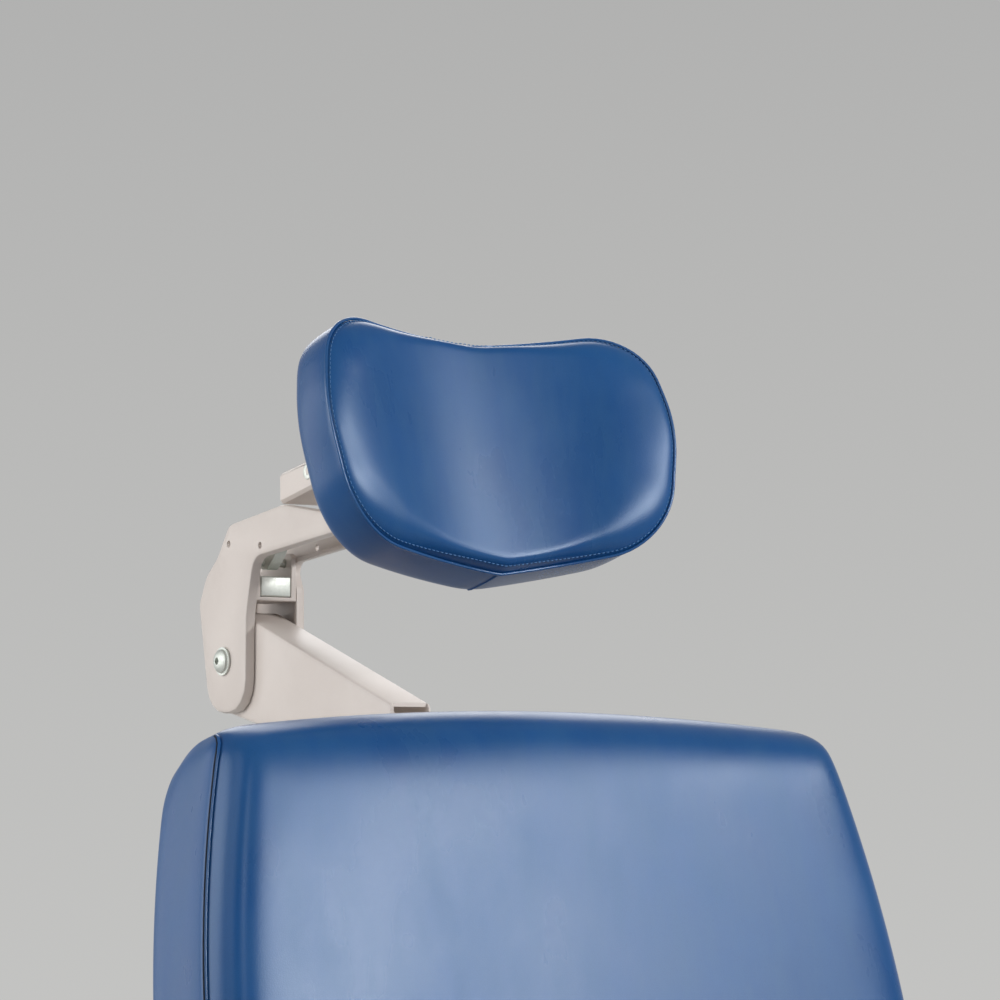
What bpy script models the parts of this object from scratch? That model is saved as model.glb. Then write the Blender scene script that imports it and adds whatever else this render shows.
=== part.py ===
"""Ear, nose and throat examination chair with a two-joint headrest.

The seated person looks towards -Y, X runs across the chair, and the base plate lies on Z = 0.
Each group of pieces that moves hangs from an empty on its joint's axis.
"""
import bpy
import bmesh
from math import atan2, cos, hypot, pi, radians, sin, tan
from mathutils import Matrix, Vector

# Clearances
GAP = 0.0003
PLAY = 0.0003

# Base and lifting column
BASE_WIDTH = 0.540
BASE_LENGTH = 0.620
BASE_SHIFT = 0.045
BASE_CORNER = 0.110
BASE_THICK = 0.012
COVER_WALL = 0.003
COVER_SKIRT = 0.036
COVER_HEIGHT = 0.080
COLUMN_WIDTH = 0.160
COLUMN_DEPTH = 0.140
COLUMN_CORNER = 0.030
COLUMN_WALL = 0.005
COLLAR_THICK = 0.020
STEM_PLAY = 0.004
STEM_WALL = 0.004
STEM_BOTTOM = 0.060
STEM_TOP = 0.400
STEM_CAP = 0.010
STEM_SHOWN = 0.110
CYLINDER_RADIUS = 0.030
RAM_RADIUS = 0.018
RAM_PLAY = 0.0015

# Foot pump pedal
PEDAL_X = 0.110
PEDAL_INSET = 0.070
PEDAL_Z = 0.032
PEDAL_REACH = 0.150
PEDAL_WIDTH = 0.028
PEDAL_TILT = radians(10)

# Swivel and seat frame
BEARING_THICK = 0.012
SWIVEL_RADIUS = 0.125
SWIVEL_THICK = 0.010
RAIL_X = 0.205
RAIL_WIDTH = 0.030
RAIL_HEIGHT = 0.028
CROSS_WIDTH = 0.045
PAN_THICK = 0.012

# Seat
SEAT_HALF_WIDTH = 0.258
SEAT_FRONT = -0.316
SEAT_REAR = 0.128
SEAT_THICK = 0.078
SEAT_CROWN = 0.016

# Recline hinge and backrest
HINGE_BEHIND = 0.097
HINGE_RISE = 0.022
HINGE_RADIUS = 0.030
HINGE_PIN = 0.008
LUG_THICK = 0.010
DISC_THICK = 0.012
LEAN = radians(14)
BACK_BOTTOM = 0.066
BACK_TOP = 0.661
BACK_FRONT = -0.087
BACK_REAR = -0.003
BACK_CROWN = 0.020
BACK_ARCH = 0.015
BACK_HALF_WIDTH = 0.284
BACK_WIDEST_BELOW = 0.261
BACK_TOP_DRAW = 0.032
BACK_LOW_DRAW = 0.016
BOARD_THICK = 0.010
BAR_DEPTH = 0.020
SHELL_WALL = 0.003
SHELL_ROOM = 0.0017

# Headrest slide
POST_THICK = 0.016
POST_PLAY = 0.0005
POST_ABOVE = 0.031
POST_LENGTH = 0.317
GUIDE_WALL = 0.004
GUIDE_BELOW = 0.073
GUIDE_LENGTH = 0.223
KNOB_RADIUS = 0.022

# Headrest: the seam's lowest point over the back's top, and the two pivots measured from that point
SEAM_AHEAD = 0.0643
SEAM_ABOVE = 0.1136
PAD_TILT = radians(14.6)
PAD_HALF_WIDTH = 0.149
PAD_HEIGHT = 0.181
PAD_WING = 0.0345
PAD_DEPTH = 0.045
PAD_CROWN = 0.013
LOWER_PIVOT_Y = 0.344
LOWER_PIVOT_Z = -0.051
UPPER_PIVOT_Y = -0.180
UPPER_PIVOT_Z = 0.095
CHEEK_DEPTH = 0.0083
CHEEK_SHEET = 0.003
CHEEK_ROUND = 0.0035
ARM_HALF_WIDTH = 0.018
SHEET = 0.003
PIVOT_RADIUS = 0.005

# Leg rest
LEG_BEHIND = 0.011
LEG_LEAN = radians(12)
LEG_BAR = 0.008
LEG_BAR_DEPTH = 0.024
LEG_LENGTH = 0.335
LEG_HALF_WIDTH = 0.195
LEG_THICK = 0.060
FOOT_REACH = 0.100
FOOT_WIDTH = 0.300
FOOT_LENGTH = 0.190
FOOT_THICK = 0.008
CRANK = 0.075
CRANK_ANGLE = radians(37.5)
CRANK_X = 0.150
CRANK_THICK = 0.006
ROD_THICK = 0.008
ROD_PIN = 0.005

# Armrests
ARM_SPREAD = 0.042
ARM_POST_THICK = 0.012
ARM_POST_DEPTH = 0.044
ARM_AHEAD = 0.008
ARM_RISE = 0.2085
ARM_LENGTH = 0.345
ARM_PAD_WIDTH = 0.062
ARM_PAD_THICK = 0.038

# Places that follow from the sizes above
COLUMN_TOP = STEM_TOP - STEM_SHOWN
PEDAL_Y = BASE_SHIFT + BASE_LENGTH / 2 - PEDAL_INSET
BEARING_Z = STEM_TOP + GAP
SWIVEL_Z = BEARING_Z + BEARING_THICK + GAP
RAIL_Z = SWIVEL_Z + SWIVEL_THICK + GAP
RAIL_TOP = RAIL_Z + RAIL_HEIGHT
PAN_Z = RAIL_TOP + GAP
SEAT_Z = PAN_Z + PAN_THICK + GAP
HINGE_Z = RAIL_TOP + HINGE_RISE
LEG_Z = RAIL_Z + RAIL_HEIGHT / 2
RAIL_OUTER = RAIL_X + RAIL_WIDTH / 2
HINGE_Y = SEAT_REAR + HINGE_BEHIND
RAIL_REAR = HINGE_Y - 0.045
LEG_Y = SEAT_FRONT + LEG_BEHIND
ARM_X = SEAT_HALF_WIDTH + ARM_SPREAD
ARM_Y = SEAT_REAR - ARM_AHEAD
ARM_Z = SEAT_Z + ARM_RISE
BACK_WIDEST = BACK_TOP - BACK_WIDEST_BELOW
POST_HALF_WIDTH = ARM_HALF_WIDTH - SHEET - GAP
POST_TOP = BACK_TOP + POST_ABOVE
POST_BOTTOM = POST_TOP - POST_LENGTH
GUIDE_TOP = BACK_TOP - GUIDE_BELOW
GUIDE_BOTTOM = GUIDE_TOP - GUIDE_LENGTH
CHEEK_RIM = ARM_HALF_WIDTH + 0.0007
CHEEK_OUTER = CHEEK_RIM + CHEEK_DEPTH

SIDE = Matrix.Rotation(pi / 2, 4, "Z") @ Matrix.Rotation(pi / 2, 4, "X")
FRONT = Matrix.Rotation(pi / 2, 4, "X")
ALONG_X = Matrix.Rotation(pi / 2, 4, "Y")

# Colour, metallic and roughness of each finish
FINISHES = {
    "paint": ((0.76, 0.69, 0.64), 0.0, 0.42),
    "leather": ((0.035, 0.115, 0.36), 0.0, 0.45),
    "zinc": ((0.72, 0.73, 0.70), 0.9, 0.32),
    "steel": ((0.55, 0.56, 0.57), 1.0, 0.30),
    "black": ((0.03, 0.03, 0.032), 0.0, 0.55),
    "board": ((0.35, 0.24, 0.14), 0.0, 0.65),
    "cover": ((0.70, 0.67, 0.63), 0.0, 0.50),
    "chrome": ((0.80, 0.80, 0.80), 1.0, 0.15),
}

for old in list(bpy.data.objects):
    bpy.data.objects.remove(old)
PARTS = bpy.data.collections.new("ent_examination_chair")
CUTTERS = bpy.data.collections.new("cutters")
bpy.context.scene.collection.children.link(PARTS)
bpy.context.scene.collection.children.link(CUTTERS)
FRAMES = {}


def at(x=0.0, y=0.0, z=0.0, tilt=0.0):
    """Placement at a point, turned about X by tilt."""
    return Matrix.Translation((x, y, z)) @ Matrix.Rotation(tilt, 4, "X")


def frame(name, parent, placement):
    """Empty on a joint's axis that carries a group of pieces."""
    empty = bpy.data.objects.new("axis_" + name, None)
    PARTS.objects.link(empty)
    world = placement
    if parent:
        empty.parent = FRAMES[parent][0]
        world = FRAMES[parent][1].inverted() @ placement
    empty.matrix_basis = world
    FRAMES[name] = (empty, placement)


def put(name, mesh, group, finish, placement=Matrix()):
    """Named piece in its group, placed in the chair's own coordinates."""
    colour, metallic, roughness = FINISHES[finish]
    paint = bpy.data.materials.new(name)
    paint.use_nodes = True
    shader = paint.node_tree.nodes["Principled BSDF"]
    shader.inputs["Base Color"].default_value = (*colour, 1.0)
    shader.inputs["Metallic"].default_value = metallic
    shader.inputs["Roughness"].default_value = roughness
    paint.diffuse_color = (*colour, 1.0)
    mesh.materials.append(paint)
    mesh.shade_smooth()
    mesh.set_sharp_from_angle(angle=radians(38))
    piece = bpy.data.objects.new(name, mesh)
    PARTS.objects.link(piece)
    piece.parent = FRAMES[group][0]
    piece.matrix_basis = FRAMES[group][1].inverted() @ placement
    return piece


def combine(piece, mesh, operation, placement=Matrix()):
    """Joins a mesh to a piece, or cuts it away, with a Boolean modifier."""
    tool = bpy.data.objects.new(piece.name + "_tool", mesh)
    CUTTERS.objects.link(tool)
    tool.hide_render = True
    tool.display_type = "WIRE"
    tool.parent = piece.parent
    for empty, world in FRAMES.values():
        if empty == piece.parent:
            tool.matrix_basis = world.inverted() @ placement
    step = piece.modifiers.new(operation.lower(), "BOOLEAN")
    step.operation = operation
    step.solver = "EXACT"
    step.object = tool


def soften(piece, width, segments=2):
    """Rounds the sharp edges of a piece."""
    step = piece.modifiers.new("soft_edges", "BEVEL")
    step.width = width
    step.segments = segments
    step.limit_method = "ANGLE"
    step.angle_limit = radians(40)


def face_outwards(work):
    """Turns every face of a closed mesh to the outside."""
    bmesh.ops.recalc_face_normals(work, faces=work.faces)
    if work.calc_volume(signed=True) < 0:
        bmesh.ops.reverse_faces(work, faces=work.faces)


def weld(mesh):
    """Closes the seams of a mesh, joins its flat faces and turns them outwards."""
    work = bmesh.new()
    work.from_mesh(mesh)
    bmesh.ops.remove_doubles(work, verts=work.verts, dist=1e-6)
    bmesh.ops.dissolve_limit(work, angle_limit=radians(0.1), verts=work.verts, edges=work.edges)
    face_outwards(work)
    work.to_mesh(mesh)
    work.free()
    return mesh


def rounded(corners, steps=5, run=None):
    """Closed outline through corners (a, b, radius), each turned into an arc; run splits long stretches."""
    points = []
    count = len(corners)
    for index in range(count):
        before, here, after = (Vector(corners[(index + k) % count][:2]) for k in (-1, 0, 1))
        radius = corners[index][2]
        to_before = (before - here).normalized()
        to_after = (after - here).normalized()
        opening = to_before.angle(to_after)
        if radius <= 0 or opening > radians(179):
            points.append(here)
            continue
        reach = radius / tan(opening / 2)
        centre = here + (to_before + to_after).normalized() * radius / sin(opening / 2)
        start = here + to_before * reach - centre
        turn = start.angle_signed(here + to_after * reach - centre)
        pieces = max(2, round(steps * abs(turn) / (pi / 2)))
        first = atan2(start.y, start.x)
        for k in range(pieces + 1):
            angle = first - turn * k / pieces
            points.append(centre + Vector((cos(angle), sin(angle))) * radius)
    if run:
        split = []
        for index, point in enumerate(points):
            following = points[(index + 1) % len(points)]
            parts = max(1, round((following - point).length / run))
            split += [point.lerp(following, k / parts) for k in range(parts)]
        points = split
    return [tuple(point) for point in points]


def rectangle(width, length, radius, shift_y=0.0, steps=5):
    """Rectangle with round corners about (0, shift_y)."""
    a, b = width / 2, length / 2
    corners = [(-a, -b), (a, -b), (a, b), (-a, b)]
    return rounded([(x, y + shift_y, radius) for x, y in corners], steps)


def circle(radius, count=24, centre=(0.0, 0.0)):
    """Points round a circle."""
    turns = [2 * pi * k / count for k in range(count)]
    return [(centre[0] + radius * cos(t), centre[1] + radius * sin(t)) for t in turns]


def inset(outline, distance):
    """Outline moved inwards by a distance."""
    count = len(outline)
    area = sum(outline[k][0] * outline[(k + 1) % count][1] - outline[(k + 1) % count][0] * outline[k][1]
               for k in range(count))
    sign = 1 if area > 0 else -1
    moved = []
    for k in range(count):
        before, here, after = (Vector(outline[(k + j) % count]) for j in (-1, 0, 1))
        first = (here - before).normalized()
        second = (after - here).normalized()
        normals = [Vector((-d.y, d.x)) * sign for d in (first, second)]
        middle = (normals[0] + normals[1]).normalized()
        moved.append(tuple(here + middle * distance / max(0.5, middle.dot(normals[0]))))
    return moved


def plate(outline, thickness, holes=()):
    """Flat piece from a filled outline with holes, centred on its own middle plane."""
    curve = bpy.data.curves.new("outline", "CURVE")
    curve.dimensions = "2D"
    curve.fill_mode = "BOTH"
    curve.extrude = thickness / 2
    for loop in (outline, *holes):
        spline = curve.splines.new("POLY")
        spline.points.add(len(loop) - 1)
        for point, (a, b) in zip(spline.points, loop):
            point.co = (a, b, 0, 1)
        spline.use_cyclic_u = True
    holder = bpy.data.objects.new("outline", curve)
    bpy.context.scene.collection.objects.link(holder)
    shown = holder.evaluated_get(bpy.context.evaluated_depsgraph_get())
    mesh = bpy.data.meshes.new_from_object(shown)
    bpy.data.objects.remove(holder)
    return weld(mesh)


def block(low, high):
    """Box between two corners."""
    work = bmesh.new()
    bmesh.ops.create_cube(work, size=1.0)
    low, high = Vector(low), Vector(high)
    bmesh.ops.scale(work, vec=high - low, verts=work.verts)
    bmesh.ops.translate(work, vec=(high + low) / 2, verts=work.verts)
    mesh = bpy.data.meshes.new("box")
    work.to_mesh(mesh)
    work.free()
    return mesh


def rod(radius, low, high, count=24):
    """Round bar along its own Z."""
    work = bmesh.new()
    place = Matrix.Translation((0, 0, (low + high) / 2))
    bmesh.ops.create_cone(work, cap_ends=True, segments=count, radius1=radius, radius2=radius,
                          depth=high - low, matrix=place)
    mesh = bpy.data.meshes.new("rod")
    work.to_mesh(mesh)
    work.free()
    return mesh


def loft(loops, caps=True, ends=None):
    """Skin over loops with equal counts of points; without caps the last loop joins the first.

    Given two end points, the first and last loops close in fans of triangles about them.
    """
    count = len(loops[0])
    work = bmesh.new()
    rings = [[work.verts.new(point) for point in loop] for loop in loops]
    pairs = list(zip(rings, rings[1:]))
    if not caps:
        pairs.append((rings[-1], rings[0]))
    for lower, upper in pairs:
        for k in range(count):
            work.faces.new((lower[k], lower[(k + 1) % count], upper[(k + 1) % count], upper[k]))
    if ends:
        for ring, end in zip((rings[0], rings[-1]), ends):
            tip = work.verts.new(end)
            for k in range(count):
                work.faces.new((ring[k], ring[(k + 1) % count], tip))
    elif caps:
        work.faces.new(list(reversed(rings[0])))
        work.faces.new(rings[-1])
    face_outwards(work)
    mesh = bpy.data.meshes.new("loft")
    work.to_mesh(mesh)
    work.free()
    return mesh


def cup(outline, levels):
    """Dished piece: loops of the outline at (inset, height) levels, closed at both ends."""
    return loft([[(a, b, height) for a, b in inset(outline, step)] for step, height in levels])


def turned(name, profile, group, finish, placement, closed=False, count=20):
    """Round piece: a profile (radius, height) from top to bottom, swept about Z by a Screw modifier."""
    mesh = bpy.data.meshes.new(name)
    edges = [(k, k + 1) for k in range(len(profile) - 1)]
    if closed:
        edges.append((len(profile) - 1, 0))
    mesh.from_pydata([(radius, 0, height) for radius, height in profile], edges, [])
    piece = put(name, mesh, group, finish, placement)
    step = piece.modifiers.new("turn", "SCREW")
    step.angle = 2 * pi
    step.steps = count
    step.render_steps = count
    step.axis = "Z"
    step.use_merge_vertices = True
    step.merge_threshold = 1e-5
    step.use_smooth_shade = True
    return piece


def sides(name):
    """The two mirrored names of a piece with the sign of X on that side."""
    return ((name + "_left", -1), (name + "_right", 1))


def swept_cushion(profile, half_width, lift, edge=0.012, spans=5):
    """Cushion: a side outline repeated across X, drawn in to a seam at each side and crowned between them.

    half_width(a, b) is the seam's distance from the middle and lift(a, b, t) the crown there,
    with t running from -1 to 1 across the cushion.
    """
    def loop(width_of, inward, across):
        points = []
        for a, b in inset(profile, inward):
            width = half_width(a, b)
            da, db = lift(a, b, across)
            points.append((width_of(width), a + da, b + db))
        return points

    loops = []
    for sign in (-1, 1):
        side = [
            loop(lambda w: sign * (w + 0.0035), edge * 2.2, 1),
            loop(lambda w: sign * (w + 0.0030), edge * 0.8, 1),
            loop(lambda w: sign * w, edge * 0.25, 1),
            loop(lambda w: sign * (w - edge * 0.25), 0.0, 1),
        ]
        if sign < 0:
            loops += side
            for k in range(1, 2 * spans):
                across = k / spans - 1
                loops.append(loop(lambda w: across * (w - edge * 0.25), 0.0, across))
        else:
            loops += reversed(side)
    return loft(loops)


def polar_pad(outline, rings):
    """Pad built as nested copies of an outline about its middle: rings of (scale, height function)."""
    centre = Vector((0.0, sum(b for _, b in outline) / len(outline)))
    loops = []
    for scale, height in rings:
        points = [centre + (Vector(point) - centre) * scale for point in outline]
        loops.append([(a, height(a, b), b) for a, b in points])
    ends = [(0.0, height(*centre), centre.y) for _, height in (rings[0], rings[-1])]
    return loft(loops, ends=ends)


# Joint axes, from the floor up
FOOT_DROP = at(0, LEG_Y, LEG_Z, -LEG_LEAN) @ Vector((0, -FOOT_REACH, -LEG_LENGTH))
BACK = at(0, HINGE_Y, HINGE_Z, -LEAN)
LEG = at(0, LEG_Y, LEG_Z, -LEG_LEAN)
ROD_SHIFT = Vector((0, CRANK * sin(CRANK_ANGLE), -CRANK * cos(CRANK_ANGLE)))
ROD_REAR = Vector((0, HINGE_Y, HINGE_Z)) + ROD_SHIFT
ROD_FRONT = Vector((0, LEG_Y, LEG_Z)) + ROD_SHIFT
BAR_FRONT = BACK_REAR + GAP + BOARD_THICK + GAP
BAR_REAR = BAR_FRONT + BAR_DEPTH
GUIDE_FRONT = BAR_REAR + GAP
POST_FRONT = GUIDE_FRONT + GUIDE_WALL + POST_PLAY
POST_REAR = POST_FRONT + POST_THICK
GUIDE_REAR = POST_REAR + POST_PLAY + GUIDE_WALL
SHELL_FRONT = BACK_REAR + GAP + BOARD_THICK + GAP
SHELL_DEPTH = GUIDE_REAR + SHELL_ROOM + SHELL_WALL - SHELL_FRONT
KNOB_Z = GUIDE_TOP - 0.108
UPPER_BAR_Z = GUIDE_TOP - 0.068
MIDDLE_BAR_Z = GUIDE_BOTTOM + 0.020
SEAM = BACK @ Vector((0, -SEAM_AHEAD, BACK_TOP + SEAM_ABOVE))
PAD = at(0, SEAM.y, SEAM.z, -PAD_TILT)
LOWER_PIVOT = SEAM + Vector((0, LOWER_PIVOT_Y, LOWER_PIVOT_Z))
UPPER_PIVOT = LOWER_PIVOT + Vector((0, UPPER_PIVOT_Y, UPPER_PIVOT_Z))
LEVER_AXIS = LOWER_PIVOT + Vector((0, -0.022, 0.0765))

frame("base", None, Matrix())
frame("pedal", "base", at(PEDAL_X, PEDAL_Y, PEDAL_Z, PEDAL_TILT))
frame("lift", "base", Matrix())
frame("swivel", "lift", Matrix())
frame("swivel_lever", "swivel", at(-0.0765, -0.0765, SWIVEL_Z - GAP))
frame("recline_lever", "swivel", at(0, HINGE_Y, HINGE_Z))
for arm_name, arm_sign in sides("arm"):
    frame(arm_name, "swivel", at(0, ARM_Y, ARM_Z))
frame("leg", "swivel", LEG)
frame("foot", "leg", Matrix.Translation(FOOT_DROP))
frame("back", "swivel", BACK)
frame("tie", "back", Matrix.Translation(ROD_REAR))
frame("knob", "back", BACK @ at(0, GUIDE_REAR, KNOB_Z))
frame("post", "back", BACK @ at(0, POST_FRONT, GUIDE_TOP))
frame("link", "post", Matrix.Translation(LOWER_PIVOT))
frame("lever", "link", Matrix.Translation(LEVER_AXIS))
frame("pad", "link", Matrix.Translation(UPPER_PIVOT))


def build_base():
    """Floor plate, moulded cover, outer column, collar, lifting cylinder and pedal bearing."""
    footprint = rectangle(BASE_WIDTH, BASE_LENGTH, BASE_CORNER, BASE_SHIFT)
    piece = put("base_plate", plate(footprint, BASE_THICK), "base", "paint", at(z=BASE_THICK / 2))
    soften(piece, 0.0015, 1)
    bottom = BASE_THICK + GAP
    neck_w, neck_d = COLUMN_WIDTH + 0.004, COLUMN_DEPTH + 0.004

    def ring(inward, height, blend=0.0):
        """Loop between the plate's outline and the column's outline."""
        width = (BASE_WIDTH - 2 * inward) * (1 - blend) + neck_w * blend
        length = (BASE_LENGTH - 2 * inward) * (1 - blend) + neck_d * blend
        radius = (BASE_CORNER - inward) * (1 - blend) + COLUMN_CORNER * blend
        shape = rectangle(width, length, radius, BASE_SHIFT * (1 - blend), 4)
        return [(x, y, height) for x, y in shape]

    shape = ((0.003, 0, 0), (0.006, COVER_SKIRT - 0.014, 0), (0.011, COVER_SKIRT - 0.004, 0),
             (0.021, COVER_SKIRT, 0), (0.021, COVER_SKIRT + 0.008, 0.35), (0.021, COVER_HEIGHT - 0.022, 0.70),
             (0.021, COVER_HEIGHT - 0.006, 0.88), (0.021, COVER_HEIGHT, 0.93))
    outer = [ring(inward, bottom + height, blend) for inward, height, blend in shape]
    mouth = rectangle(neck_w, neck_d, COLUMN_CORNER, steps=4)
    neck = [[(x, y, bottom + COVER_HEIGHT) for x, y in mouth]]
    inner = [ring(inward + COVER_WALL, bottom + max(0, height - COVER_WALL), blend)
             for inward, height, blend in reversed(shape[:-1])]
    neck_low = [[(x, y, bottom + COVER_HEIGHT - 2 * COVER_WALL) for x, y in mouth]]
    cover = put("base_cover", loft(outer + neck + neck_low + inner, caps=False), "base", "cover")
    slot = 0.5 * PEDAL_WIDTH + 0.006
    combine(cover, block((PEDAL_X - slot, PEDAL_Y - 0.02, bottom - 0.01),
                         (PEDAL_X + slot, PEDAL_Y + 0.2, COVER_HEIGHT)), "DIFFERENCE")

    outline = rectangle(COLUMN_WIDTH, COLUMN_DEPTH, COLUMN_CORNER)
    height = COLUMN_TOP - bottom
    put("column_outer", plate(outline, height, [inset(outline, COLUMN_WALL)]), "base", "paint",
        at(z=bottom + height / 2))
    collar = rectangle(COLUMN_WIDTH + 0.010, COLUMN_DEPTH + 0.010, COLUMN_CORNER + 0.005)
    hole = inset(outline, COLUMN_WALL + STEM_PLAY - 2 * PLAY)
    piece = put("guide_collar", plate(collar, COLLAR_THICK, [hole]), "base", "black",
                at(z=COLUMN_TOP + GAP + COLLAR_THICK / 2))
    soften(piece, 0.002, 1)

    bore = RAM_RADIUS + RAM_PLAY
    top = COLUMN_TOP - 0.010
    turned("lift_cylinder", [(bore, top), (CYLINDER_RADIUS, top), (CYLINDER_RADIUS, bottom), (bore, bottom)],
           "base", "steel", Matrix(), closed=True)

    ear = rounded([(-0.020, bottom, 0), (0.020, bottom, 0), (0.012, PEDAL_Z + 0.010, 0.010),
                   (-0.012, PEDAL_Z + 0.010, 0.010)])
    gap = PEDAL_WIDTH / 2 + 0.001
    wide = gap + 0.005
    foot = block((PEDAL_X - wide, PEDAL_Y - 0.020, bottom), (PEDAL_X + wide, PEDAL_Y + 0.020, bottom + 0.004))
    bracket = put("pedal_bracket", foot, "base", "steel")
    hole = circle(0.006 + PLAY, 16, (0, PEDAL_Z))
    for sign in (-1, 1):
        combine(bracket, plate(ear, 0.005, [hole]), "UNION",
                at(PEDAL_X + sign * (gap + 0.0025), PEDAL_Y) @ SIDE)


def build_pedal():
    """Pump pedal: an arm on its own cross shaft with a broad tread."""
    place = FRAMES["pedal"][1]
    arm = rounded([(-0.012, -0.008, 0.008), (0.050, -0.005, 0.03), (PEDAL_REACH, -0.005, 0.004),
                   (PEDAL_REACH, 0.006, 0.004), (0.050, 0.006, 0.03), (-0.012, 0.010, 0.008)], 4)
    pedal = put("pump_pedal", plate(arm, PEDAL_WIDTH), "pedal", "black", place @ SIDE)
    reach = PEDAL_WIDTH / 2 + 0.007
    combine(pedal, rod(0.006, -reach, reach, 16), "UNION", place @ ALONG_X)
    tread = rounded([(-0.045, 0.095, 0.012), (0.045, 0.095, 0.012), (0.045, 0.165, 0.018),
                     (-0.045, 0.165, 0.018)], 4)
    combine(pedal, plate(tread, 0.012), "UNION", place @ at(z=0.006))


def build_lift():
    """Inner column with a closed top, ram and bearing ring."""
    reach = COLUMN_WALL + STEM_PLAY
    outline = inset(rectangle(COLUMN_WIDTH, COLUMN_DEPTH, COLUMN_CORNER), reach)
    levels = ((STEM_WALL, STEM_TOP - STEM_CAP), (STEM_WALL, STEM_BOTTOM), (0, STEM_BOTTOM),
              (0, STEM_TOP - 0.001), (0.001, STEM_TOP))
    put("column_inner", cup(outline, levels), "lift", "steel")
    high = STEM_TOP - STEM_CAP - GAP
    turned("lift_ram", [(0, high), (RAM_RADIUS, high), (RAM_RADIUS, STEM_BOTTOM), (0, STEM_BOTTOM)],
           "lift", "chrome", Matrix())
    low, high = BEARING_Z, BEARING_Z + BEARING_THICK
    ring = [(0.050, high), (0.085, high), (0.088, high - 0.003), (0.088, low + 0.003), (0.085, low),
            (0.050, low)]
    turned("swivel_bearing", ring, "lift", "black", Matrix(), closed=True, count=28)


def build_seat():
    """Swivel plate, seat frame, pan, cushion, recline hubs and armrest brackets."""
    high = SWIVEL_Z + SWIVEL_THICK
    turned("swivel_plate", [(0, high), (SWIVEL_RADIUS - 0.002, high), (SWIVEL_RADIUS, high - 0.002),
                            (SWIVEL_RADIUS, SWIVEL_Z), (0, SWIVEL_Z)], "swivel", "steel", Matrix(), count=32)
    hinge_hole = circle(HINGE_PIN + PLAY, 24, (HINGE_Y, HINGE_Z))
    crest = HINGE_Z + HINGE_RADIUS
    root = RAIL_REAR - 0.060
    lug = rounded([(root, RAIL_Z + 0.002, 0.004), (HINGE_Y, RAIL_Z + 0.002, 0.02),
                   (HINGE_Y + 0.033, HINGE_Z - 0.006, 0.028), (HINGE_Y + 0.020, crest, 0.024),
                   (HINGE_Y - 0.025, crest - 0.004, 0.024), (RAIL_REAR - 0.015, RAIL_TOP, 0.02),
                   (root, RAIL_TOP - 0.003, 0.004)])
    front = LEG_Y - 0.018
    for name, sign in sides("seat_rail"):
        middle = sign * RAIL_X
        tube = block((middle - RAIL_WIDTH / 2, front, RAIL_Z), (middle + RAIL_WIDTH / 2, RAIL_REAR, RAIL_TOP))
        rail = put(name, tube, "swivel", "paint")
        combine(rail, plate(lug, LUG_THICK, [hinge_hole]), "UNION",
                at(sign * (RAIL_OUTER - LUG_THICK / 2)) @ SIDE)
        combine(rail, rod(0.006 + PLAY, -0.03, 0.03, 16), "DIFFERENCE", at(middle, LEG_Y, LEG_Z) @ ALONG_X)
    inside = RAIL_X - RAIL_WIDTH / 2 - GAP
    for name, y in (("seat_cross_front", -0.125), ("seat_cross_rear", 0.085)):
        half = CROSS_WIDTH / 2
        piece = put(name, block((-inside, y - half, RAIL_Z), (inside, y + half, RAIL_TOP)), "swivel", "paint")
        soften(piece, 0.003)
    wide, ahead, behind = SEAT_HALF_WIDTH - 0.023, SEAT_FRONT + 0.030, SEAT_REAR - 0.012
    pan = rounded([(-wide, ahead, 0.05), (wide, ahead, 0.05), (wide, behind, 0.03), (-wide, behind, 0.03)])
    put("seat_pan", plate(pan, PAN_THICK), "swivel", "board", at(z=PAN_Z + PAN_THICK / 2))

    top = SEAT_Z + SEAT_THICK
    profile = rounded([(SEAT_FRONT, SEAT_Z, 0.020), (SEAT_REAR, SEAT_Z, 0.014), (SEAT_REAR, top, 0.026),
                       (SEAT_FRONT, top, 0.045)], 4, 0.045)

    def crown(a, b, t):
        """Rise of the seat's top between the seams, with a shallow hollow towards the rear."""
        share = max(0.0, (b - SEAT_Z) / SEAT_THICK) ** 3
        along = (a - SEAT_FRONT) / (SEAT_REAR - SEAT_FRONT)
        return (-0.008 * (1 - t * t) * share * max(0.0, 1 - 3 * along),
                SEAT_CROWN * (1 - t ** 4) * share * (1 - 0.35 * along))

    put("seat_cushion", swept_cushion(profile, lambda a, b: SEAT_HALF_WIDTH, crown), "swivel", "leather")

    outer = RAIL_OUTER + GAP
    for name, sign in sides("recline_disc"):
        tip = -2 * LUG_THICK - 0.003
        profile = [(0, DISC_THICK), (0.028, DISC_THICK), (0.034, DISC_THICK - 0.005), (0.034, 0),
                   (HINGE_PIN, 0), (HINGE_PIN, tip), (0, tip)]
        turned(name, profile, "swivel", "black",
               at(sign * outer, HINGE_Y, HINGE_Z) @ Matrix.Rotation(sign * pi / 2, 4, "Y"))

    half = ARM_POST_DEPTH / 2
    foot, crest, curve = RAIL_Z + 0.002, ARM_Z + half, half - 0.001
    upright = rounded([(-half, foot, 0.004), (half, foot, 0.004), (half, crest, curve),
                       (-half, crest, curve)])
    hole = circle(0.007 + PLAY, 16, (0, ARM_Z))
    for name, sign in sides("arm_mount"):
        near, far = sorted((sign * outer, sign * (ARM_X + ARM_POST_THICK / 2)))
        post = put(name, plate(upright, ARM_POST_THICK, [hole]), "swivel", "paint",
                   at(sign * (ARM_X + ARM_POST_THICK / 2), ARM_Y) @ SIDE)
        arm = block((near, ARM_Y - half + 0.001, foot + 0.002), (far, ARM_Y + half - 0.001, foot + 0.016))
        combine(post, arm, "UNION")


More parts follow.
